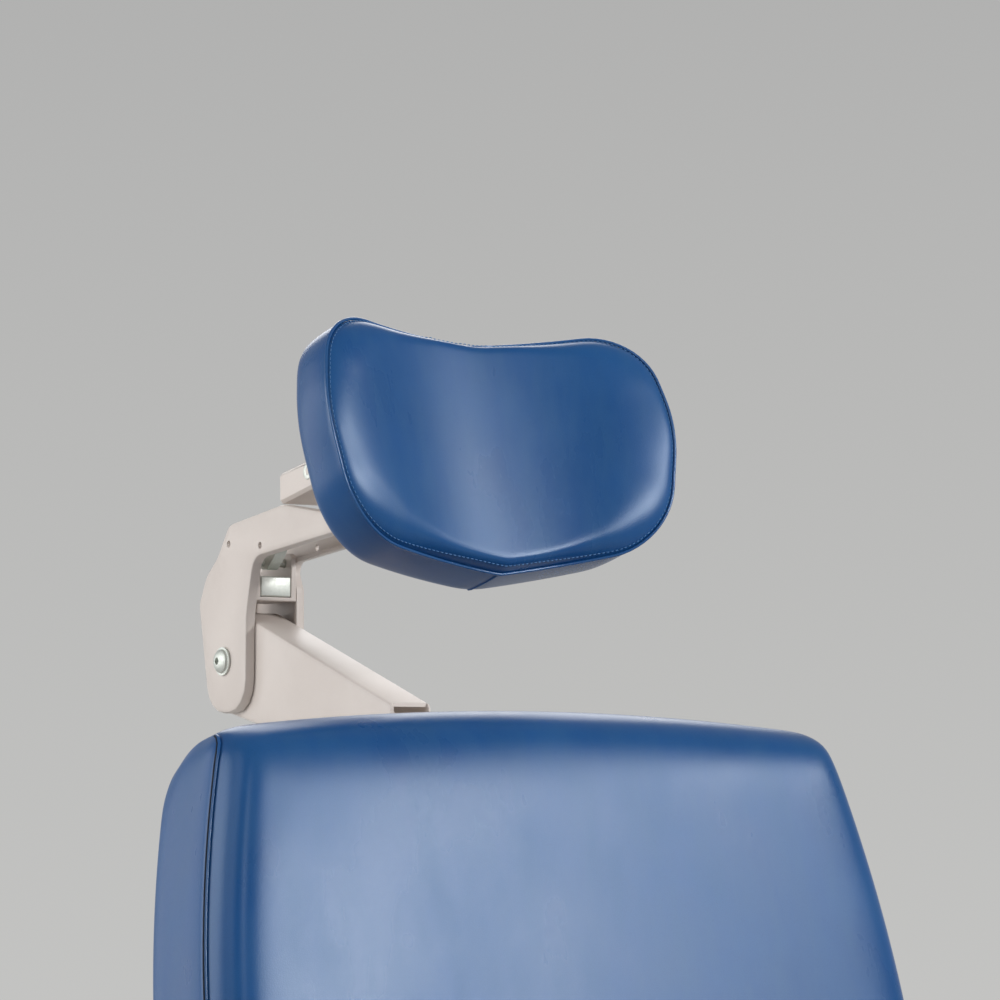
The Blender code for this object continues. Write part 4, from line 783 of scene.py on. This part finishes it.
def stitches(name, path, up, pitch, length, radius, closed=True):
    """Beads of thread at even steps: each is a spindle of seven rings whose ends dip into the cover."""
    path, up = even_steps(path, up, pitch, closed)
    along, up, across = along_path(path, up, closed)
    t = np.linspace(-1, 1, 7)
    turn = full_turn(6)
    thick = radius * np.sqrt(1 - 0.995 * t ** 2)
    local = np.stack(np.broadcast_arrays(t[:, None] * length / 2, np.cos(turn) * thick[:, None]
                                         - 0.9 * radius * t[:, None] ** 2, np.sin(turn) * thick[:, None]), -1)
    axes = np.stack((along, up, across), 1)
    points = path[:, None, None] + np.einsum("rsk,nkd->nrsd", local, axes)
    block = numbered(local)
    caps = np.stack((block[0, :3], block[0, 3:][::-1]), 0)
    one = np.concatenate((quads(block, True), quads(caps), quads(caps + block[-1, 0])))
    faces = one[None] + (np.arange(len(path)) * block.size)[:, None, None]
    return new_piece(name, points, faces, THREAD)


def trim(piece, body):
    """A sewn-on piece that rides with its cushion's body."""
    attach(piece, body)


print("an even walk of 1 m in steps of 0.1 m has",
      len(even_steps(np.array(((0, 0, 0), (1, 0, 0))), np.zeros((2, 3)), 0.1, False)[0]), "points")

# %% [markdown]
# Sewing the headrest
#
# The welt stands a little proud of the front seam. The stitches lie just inside it, on the front panel. One
# more seam closes the band in the middle of the lower edge, where the pad's point is.

# %% The headrest's welt, stitches and lower seam
WELT, STITCH_PITCH, STITCH_LONG, STITCH_THICK = 0.0012, 0.0036, 0.0028, 0.0004
STITCH_IN, WELT_PROUD, BAND_SEAM = 0.0020, 0.0011, 0.0008


def onto(piece, path):
    """Points brought onto the planes of their nearest skin points, and the directions of those points."""
    points, normals = skin_points(piece)
    near = ((path[:, None] - points[None]) ** 2).sum(-1).argmin(1)
    lift = ((points[near] - path) * normals[near]).sum(1, keepdims=True)
    return path + lift * normals[near], normals[near]


pad_points, pad_up = skin_points(pad)
pad_cord = pad_points[pad_seam] + pad_up[pad_seam] * WELT_PROUD
trim(welt("headrest_welt", pad_cord, pad_up[pad_seam], WELT, TIGHT), "pad")
arms = pad_outline - pad_middle
reach = np.hypot(*arms.T)[:, None]
inner = pad_middle + arms * SEAM_SHARE * (1 - STITCH_IN / reach)
sewn = np.stack((inner[:, 0], -wing(inner[:, 0]) - pad_rise(STITCH_IN, arms), inner[:, 1]), -1)
sewn, sewn_up = onto(pad, placed(sewn, PAD_ORIGIN, PAD_LEAN))
trim(stitches("headrest_stitches", sewn, sewn_up, STITCH_PITCH, STITCH_LONG, STITCH_THICK), "pad")
lowest = np.argmin(abs(pad_outline[:, 0]) + 10 * (pad_outline[:, 1] > PAD_TALL / 2))
join, join_up = onto(pad, band[:, lowest])
trim(welt("headrest_band_seam", join, join_up, BAND_SEAM, LEATHER, closed=False), "pad")
print("stitches:", len(even_steps(sewn, sewn_up, STITCH_PITCH, True)[0]), "round the pad")

# %% [markdown]
# Wrapped cushions
#
# The back, seat, leg and arm cushions are made another way: one long panel wraps round the foam, over the
# front, top and rear, and a flat panel closes each side. The wrapped panel is the side outline repeated
# across the chair. It draws in at each side seam in a quarter ellipse, and a crown lifts it between the
# seams.


# %% One function for every wrapped cushion
SIDE_ROLL, ROW_CROWD, FRONT_OVER = 0.020, 1.5, 3
WELT_OUT, LINE_OUT, LINE_ASIDE, LINE_THICK = 0.6, 0.3, 0.9, 0.7
ORIGIN = (0.0, 0.0, 0.0)


def four_sided(loop, cells):
    """Grid that fills a loop of four sides: the sum of both straight blends between facing sides, less the
    blend of the four corners.
    """
    wide, tall = cells
    loop = np.concatenate((loop, loop[:1]))
    low, right = loop[:wide + 1], loop[wide:wide + tall + 1]
    high, left = loop[wide + tall:2 * wide + tall + 1][::-1], loop[2 * wide + tall:][::-1]
    u = np.linspace(0, 1, wide + 1)[None, :, None]
    v = np.linspace(0, 1, tall + 1)[:, None, None]
    across = (1 - u) * left[:, None] + u * right[:, None]
    upward = (1 - v) * low[None] + v * high[None]
    corners = (1 - v) * ((1 - u) * low[0] + u * low[-1]) + v * ((1 - u) * high[0] + u * high[-1])
    return across + upward - corners


def side_outline(front, rear, low, high, radii):
    """Marked corners of a side outline, from the lower front round to the upper front."""
    places = ((front, low), (rear, low), (rear, high), (front, high))
    return [(*place, radius, True) for place, radius in zip(places, radii)]


def wrapped(name, corners, cells, across, half_width, crown, origin, lean,
            tuck=0.0035, dome=0.004, turn=0.013):
    """Cushion from a side outline (a forward or back, b up) carried across X.

    Row t runs from -1 to 1. Its outline is drawn in by tuck at the seams, where t is -1 or 1, over a distance
    called turn, moved by crown(a, b, t), and set at X = t times half_width(b). Side panels bulge by dome.
    """
    outline = rounded_loop(corners, cells)
    out = outward(outline)
    tau = np.linspace(-1, 1, across + 1)
    t = np.sign(tau) * (1 - (1 - abs(tau)) ** ROW_CROWD)
    wide = half_width(outline[:, 1])
    inward = tuck * (1 - roll((1 - abs(t))[:, None] * wide[None], turn))
    flat = outline[None] - out[None] * inward[..., None]
    lift = crown(outline[None, :, 0], outline[None, :, 1], t[:, None])
    rows = np.stack((t[:, None] * wide[None], flat[..., 0] + lift[0], flat[..., 1] + lift[1]), -1)
    ends = []
    for row in (0, -1):
        end = four_sided(rows[row], cells)
        gap = np.linalg.norm(end[:, :, None] - rows[row][None, None], axis=-1).min(-1)
        end[..., 0] += np.sign(t[row]) * dome * roll(gap, SIDE_ROLL)
        ends.append(end)
    return skin(name, *(placed(part, origin, lean) for part in (ends[0], rows[1:-1], ends[1])), cells)


def resting(piece, origin, lean, test):
    """Point numbers of a cushion whose own places (x, forward or back, up) pass a test."""
    points, _ = skin_points(piece)
    x, y, z = np.moveaxis(points - np.array(origin), -1, 0)
    c, s = np.cos(lean), np.sin(lean)
    return np.flatnonzero(test(x, y * c - z * s, y * s + z * c))


def seam_welts(piece, seams, body, front=None, radius=0.0014):
    """A slim welt along each side seam of a cushion and, beside it, a near-black cord of painted seam shade.

    With front given, both run only along that many points, from the upper front corner to the lower one.
    """
    points, up = skin_points(piece)
    for side, sign, seam in zip(("left", "right"), (-1, 1), seams):
        if front:
            seam = np.roll(seam, front + FRONT_OVER)[:front + 2 * FRONT_OVER]
        at, out = points[seam], up[seam] * radius
        beside = at + out * LINE_OUT + np.array((sign, 0, 0)) * radius * LINE_ASIDE
        # The second cord is painted shade: a near-black line where the seam's groove lies in shadow.
        for kind, path, size, finish in (("welt_", at + out * WELT_OUT, radius, TIGHT),
                                         ("sewn_line_", beside, radius * LINE_THICK, PAINTED_GROOVE_SHADE)):
            name = piece.name.replace("cover", kind + side)
            trim(welt(name, path, up[seam], size, finish, not front), body)


def upholster(node, body, corners, cells, across, half_width, crown, place, rests, cap, shape=(), **welts):
    """A wrapped cushion sewn to a body in place of a frame piece.

    place is its origin and lean, rests the test for the points that lie on its board, cap how far it may
    swell, and shape the tuck, dome and turn where they differ from the usual ones. welts go to seam_welts.
    """
    piece, *seams = wrapped(node + "_cover", corners, cells, across, half_width, crown, *place, *shape)
    stuff(piece, np.concatenate((*seams, resting(piece, *place, rests))), cap)
    seam_welts(piece, seams, body, **welts)
    sew_on(piece, body, node)


print("a side outline has", len(side_outline(0, 1, 0, 1, (0.1,) * 4)), "marked corners")

# %% [markdown]
# The back cushion
#
# The back is widest a little above half height and narrows towards the top, where its edge arches gently.
# The front bulges between the side seams. Its rear rests on a board, so those points are held while it is
# stuffed.

# %% Back cushion
BACK_ORIGIN, BACK_LEAN = (0.0, 0.2250, 0.4729), np.radians(14)
BACK_LOW, BACK_HIGH, BACK_FACE, BACK_SEAT = 0.066, 0.661, -0.087, -0.003
BACK_HALF, BACK_WIDEST, BACK_SHOULDER = 0.284, 0.400, 0.022
BACK_DRAW, BACK_TAPER, BACK_BULGE, BACK_ROLL, BACK_ARCH = 0.032, 0.016, 0.017, 0.070, 0.0145
BACK_RADII, BACK_CELLS, BACK_ROWS = (0.030, 0.016, 0.045, 0.020), (18, 80), 66
BACK_SHAPE, BACK_CAP, BOARD_GAP = (0.006, 0.004, 0.024), 0.0008, 0.004


def back_half(b):
    """Half width of the back: a parabola on each side of its widest height."""
    above = np.clip((b - BACK_WIDEST) / (BACK_HIGH - BACK_SHOULDER - BACK_WIDEST), 0, None)
    below = np.clip((BACK_WIDEST - b) / (BACK_WIDEST - BACK_LOW), 0, None)
    return BACK_HALF - BACK_DRAW * above ** 2 - BACK_TAPER * below ** 2


def back_crown(a, b, t):
    """Bulge of the front and arch of the top edge.

    The bulge goes with 1 - t^44 across. At the top it falls away with the fifth power of the height over the
    last stretch, BACK_ROLL, and in the lower half it follows a power of the height's sine. The arch goes with
    1 - t^2 across and the square of the height over the last fifth.
    """
    forward = np.clip((BACK_SEAT - a) / (BACK_SEAT - BACK_FACE), 0, 1)
    along = np.clip((b - BACK_LOW) / (BACK_HIGH - BACK_LOW), 0, 1)
    rolled = 1 - np.clip((b - BACK_HIGH + BACK_ROLL) / BACK_ROLL, 0, 1) ** 5
    upright = np.where(along > 0.5, rolled, np.sin(np.pi * along) ** 0.4)
    bulge = BACK_BULGE * (1 - t ** 44) * forward ** 3 * upright
    return -bulge, BACK_ARCH * (1 - t ** 2) * np.clip((along - 0.80) / 0.20, 0, 1) ** 2


upholster("back_cushion", "back", side_outline(BACK_FACE, BACK_SEAT, BACK_LOW, BACK_HIGH, BACK_RADII),
          BACK_CELLS, BACK_ROWS, back_half, back_crown, (BACK_ORIGIN, BACK_LEAN),
          lambda x, y, z: y > BACK_SEAT - BOARD_GAP, BACK_CAP, BACK_SHAPE, front=BACK_CELLS[1])

# %% [markdown]
# Seat and leg cushions
#
# The seat is thicker, rolls over at the front so that it doesn't press into the thighs, and dips slightly
# towards the rear. The leg cushion hangs in front of its board and bulges towards the calf.

# %% Seat and leg cushions
SEAT_LOW, SEAT_DEEP, SEAT_FACE, SEAT_TAIL, SEAT_HALF = 0.4635, 0.078, -0.316, 0.128, 0.258
SEAT_PUSH, SEAT_RISE, LEG_BULGE, CAP = 0.008, 0.0145, 0.009, 0.003
SEAT_RADII, SEAT_CELLS, SEAT_ROWS = (0.020, 0.014, 0.026, 0.045), (50, 12), 60
LEG_ORIGIN, LEG_LEAN = (0.0, -0.3050, 0.4369), np.radians(12)
LEG_SEAT, LEG_FACE, LEG_LOW, LEG_HIGH, LEG_HALF = -0.0226, -0.0726, -0.299, -0.040, 0.195
LEG_RADII, LEG_CELLS, LEG_ROWS = (0.018, 0.010, 0.010, 0.020), (10, 34), 46


def seat_crown(a, b, t):
    """Rise of the seat's top, less towards the rear, and a slight push of its front.

    Both go with the cube of the height; across, the rise goes with 1 - t^4 and the push with 1 - t^2.
    """
    share = np.clip((b - SEAT_LOW) / SEAT_DEEP, 0, None) ** 3
    along = (a - SEAT_FACE) / (SEAT_TAIL - SEAT_FACE)
    return (-SEAT_PUSH * (1 - t * t) * share * np.clip(1 - 3 * along, 0, None),
            SEAT_RISE * (1 - t ** 4) * share * (1 - 0.35 * along))


def leg_crown(a, b, t):
    """Bulge of the leg cushion towards the calf: 1 - t^4 across, the root of a sine along its height."""
    share = np.clip((LEG_SEAT - a) / (LEG_SEAT - LEG_FACE), 0, None) ** 3
    along = np.clip((b - LEG_LOW) / (LEG_HIGH - LEG_LOW), 0, 1)
    return -LEG_BULGE * (1 - t ** 4) * share * np.sin(np.pi * along) ** 0.5, 0.0


upholster("seat_cushion", "swivel",
          side_outline(SEAT_FACE, SEAT_TAIL, SEAT_LOW, SEAT_LOW + SEAT_DEEP, SEAT_RADII),
          SEAT_CELLS, SEAT_ROWS, lambda b: SEAT_HALF + 0 * b, seat_crown, (ORIGIN, 0.0),
          lambda x, y, z: z < SEAT_LOW + BOARD_GAP, CAP)
upholster("leg_cushion", "leg", side_outline(LEG_FACE, LEG_SEAT, LEG_LOW, LEG_HIGH, LEG_RADII),
          LEG_CELLS, LEG_ROWS, lambda b: LEG_HALF + 0 * b, leg_crown, (LEG_ORIGIN, LEG_LEAN),
          lambda x, y, z: y > LEG_SEAT - BOARD_GAP, CAP)

# %% [markdown]
# Arm pads
#
# Each arm pad is a narrow wrapped cushion on its beam. Both come from the same numbers, with the sign of X
# changed, so they match.

# %% Arm pads
ARM_ORIGIN_Y, ARM_ORIGIN_Z, ARM_MIDDLE = 0.120, 0.672, 0.3063
ARM_LOW, ARM_HIGH, ARM_LONG, ARM_HALF = 0.0343, 0.072, 0.345, 0.027
ARM_RISE, ARM_CAP, ARM_GAP, ARM_WELT = 0.005, 0.0015, 0.003, 0.0006
ARM_RADII, ARM_CELLS, ARM_ROWS, ARM_SHAPE = (0.008, 0.006, 0.012, 0.016), (44, 7), 14, (0.003, 0.0035)


def arm_crown(a, b, t):
    """Rise of the arm pad's top: 1 - t^2 across, with the square of the height."""
    return 0.0 * t, ARM_RISE * (1 - t * t) * np.clip((b - ARM_LOW) / (ARM_HIGH - ARM_LOW), 0, None) ** 2


for side, sign in (("left", -1), ("right", 1)):
    upholster("arm_pad_" + side, "arm_" + side, side_outline(-ARM_LONG, 0, ARM_LOW, ARM_HIGH, ARM_RADII),
              ARM_CELLS, ARM_ROWS, lambda b: ARM_HALF + 0 * b, arm_crown,
              ((sign * ARM_MIDDLE, ARM_ORIGIN_Y, ARM_ORIGIN_Z), 0.0),
              lambda x, y, z: z < ARM_LOW + ARM_GAP, ARM_CAP, ARM_SHAPE, radius=ARM_WELT)

# %% [markdown]
# A bolt head on the headrest bracket
#
# The bracket's tail is drawn together by a low bolt, whose pale plated head shows just behind the pad. A
# head is a turned shape: one profile swept round the bolt's axis, with a round socket left in the middle.


# %% Turned bolt head
def turned(name, profile, centre, finish, around=40):
    """Closed shape swept round an axis along X: profile gives (radius, place along X), pole to pole."""
    angle = full_turn(around)
    radius, x = np.array(profile).T
    rows = np.stack(np.broadcast_arrays(x[:, None] + 0 * angle, centre[1] + radius[:, None] * np.cos(angle),
                                        centre[2] + radius[:, None] * np.sin(angle)), -1)
    return new_piece(name, rows, quads(numbered(rows), True), finish)


TAIL_BOLT = (0.0, 0.5830, 1.32955)
bolt_profile = [(0.0, -0.0181), (0.0024, -0.0181), (0.0026, -0.0185), (0.0030, -0.0186), (0.0056, -0.0186),
                (0.0061, -0.0184), (0.0064, -0.0179), (0.0064, -0.0174), (0.0, -0.0174)]
tail_bolt = turned("tail_bolt_head", bolt_profile, TAIL_BOLT, FINISH["zinc"])
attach(tail_bolt, "pad")
print("bolt head:", len(tail_bolt.data.polygons), "faces")

# %% [markdown]
# Floor and surround
#
# The chair stands on a pale floor that fades into an even grey surround. The surround shows in reflections
# too, but gives less light than its tone, so the lamps do most of the work.

# %% Surround and floor
world = bpy.data.worlds.new("studio")
bpy.context.scene.world = world
world.use_nodes = True
sky = world.node_tree
way = add(sky, "TexCoord").outputs["Generated"]
height = add(sky, "SeparateXYZ", {0: way}).outputs["Z"]
share = spread(sky, height, -0.10, 0.45)
seen = blend_colours(sky, share, (0.56, 0.56, 0.55, 1), (0.36, 0.36, 0.36, 1))
lit = blend_colours(sky, share, (0.09, 0.09, 0.09, 1), (0.12, 0.12, 0.125, 1))
rays = add(sky, "LightPath").outputs
mirrored = maths(sky, "MAXIMUM", rays["Is Glossy Ray"], rays["Is Transmission Ray"])
direct = maths(sky, "MAXIMUM", rays["Is Camera Ray"], mirrored)
connect(sky, sky.nodes["Background"], {"Color": blend_colours(sky, direct, lit, seen), "Strength": 1.0})

FLOOR_REACH, FLOOR_BELOW, FLOOR_FADE = 14.0, -0.0008, (1.3, 4.5)
turn = full_turn(96)
steps = np.array((0.002, 1.0, 3.0, 6.0, 10.0, FLOOR_REACH))
disc = np.stack(np.broadcast_arrays(steps[:, None] * np.cos(turn), steps[:, None] * np.sin(turn),
                                    FLOOR_BELOW), -1)
pale, pale_tree, pale_shader, pale_place = start("pale_floor", 0.0, 0.3)
clouds = effect(pale_tree, "drift", pale_place, Colour=(0.64, 0.64, 0.63, 1), Second=(0.61, 0.61, 0.60, 1),
                Scale=2.0)
connect(pale_tree, pale_shader, {"Base Color": clouds["Colour"], "Roughness": 0.7})
far = add(pale_tree, "VectorMath", {0: pale_place}, operation="LENGTH").outputs["Value"]
clear = add(pale_tree, "BsdfTransparent").outputs[0]
fade = add(pale_tree, "MixShader", {0: spread(pale_tree, far, *FLOOR_FADE), 1: pale_shader.outputs[0],
                                    2: clear})
connect(pale_tree, pale_tree.nodes["Material Output"], {"Surface": fade.outputs[0]})
floor = new_piece("floor", disc, quads(numbered(disc), True), pale)
print("floor reaches", FLOOR_REACH, "m")

# %% [markdown]
# Lamps
#
# Each lamp is a soft rectangle that looks at the upper back. Its numbers are the angle round the chair, the
# angle above level, the distance, the width, the height and the power. Two lamps at the front right draw
# broad pale bands on satin vinyl, those at the left light the steelwork, and one behind keeps the rear
# clear.

# %% Lamps
AIM = Vector((0.0, 0.30, 1.05))
LAMPS = {"front_right": (29.6, 19.0, 5.0, 1.3, 1.25, 132), "front_high": (46, 26.2, 5.0, 0.85, 0.5, 44),
         "front_left": (-20, 30, 4.0, 0.6, 0.9, 11),
         "left": (-112, 14, 2.8, 1.4, 1.6, 36), "left_rear": (-147, 8, 3.0, 1.2, 1.6, 8.5),
         "left_fill": (-75, 32, 3.0, 1.6, 1.6, 14), "behind": (150, 35, 3.2, 1.8, 1.8, 24)}
for name, (azimuth, rise, away, wide, tall, power) in LAMPS.items():
    lamp = bpy.data.lights.new(name, "AREA")
    lamp.shape = "RECTANGLE"
    lamp.size, lamp.size_y, lamp.energy = wide, tall, power
    holder = into_scene(name, lamp)
    turn, up = np.radians(azimuth), np.radians(rise)
    offset = Vector((np.sin(turn) * np.cos(up), -np.cos(turn) * np.cos(up), np.sin(up)))
    holder.location = AIM + offset * away
    holder.rotation_euler = (-offset).to_track_quat("-Z", "Y").to_euler()
    holder.visible_camera = False
print("lamps:", ", ".join(LAMPS))

# %% [markdown]
# Camera
#
# The camera looks up a little past the left of the chair at its headrest, through a long lens. Its place
# follows from its angles, its distance and the point of the picture where the pad's lower point appears.

# %% Camera
LENS, SENSOR = 123.44, 36.0
PHOTO_TURN, PHOTO_RISE, PHOTO_AWAY = np.radians(-34), np.radians(4.7), 2.4
TARGET = Vector((0.0, 0.350, 1.240))
IMAGE_SIDE, TARGET_PIXEL = 1000, (500, 575)
ahead = Vector((-np.sin(PHOTO_TURN) * np.cos(PHOTO_RISE), np.cos(PHOTO_TURN) * np.cos(PHOTO_RISE),
                np.sin(PHOTO_RISE)))
right = Vector((np.cos(PHOTO_TURN), np.sin(PHOTO_TURN), 0))
above = right.cross(ahead)
focal = LENS / SENSOR * IMAGE_SIDE
ray = (ahead + right * (TARGET_PIXEL[0] - IMAGE_SIDE / 2) / focal
       - above * (TARGET_PIXEL[1] - IMAGE_SIDE / 2) / focal)
camera = into_scene("camera", bpy.data.cameras.new("camera"))
camera.data.lens, camera.data.sensor_width = LENS, SENSOR
camera.location = TARGET - ray * PHOTO_AWAY
camera.rotation_euler = ahead.to_track_quat("-Z", "Y").to_euler()
bpy.context.scene.camera = camera
bpy.context.scene.view_settings.view_transform = "Standard"
print("camera at", [round(x, 3) for x in camera.location])
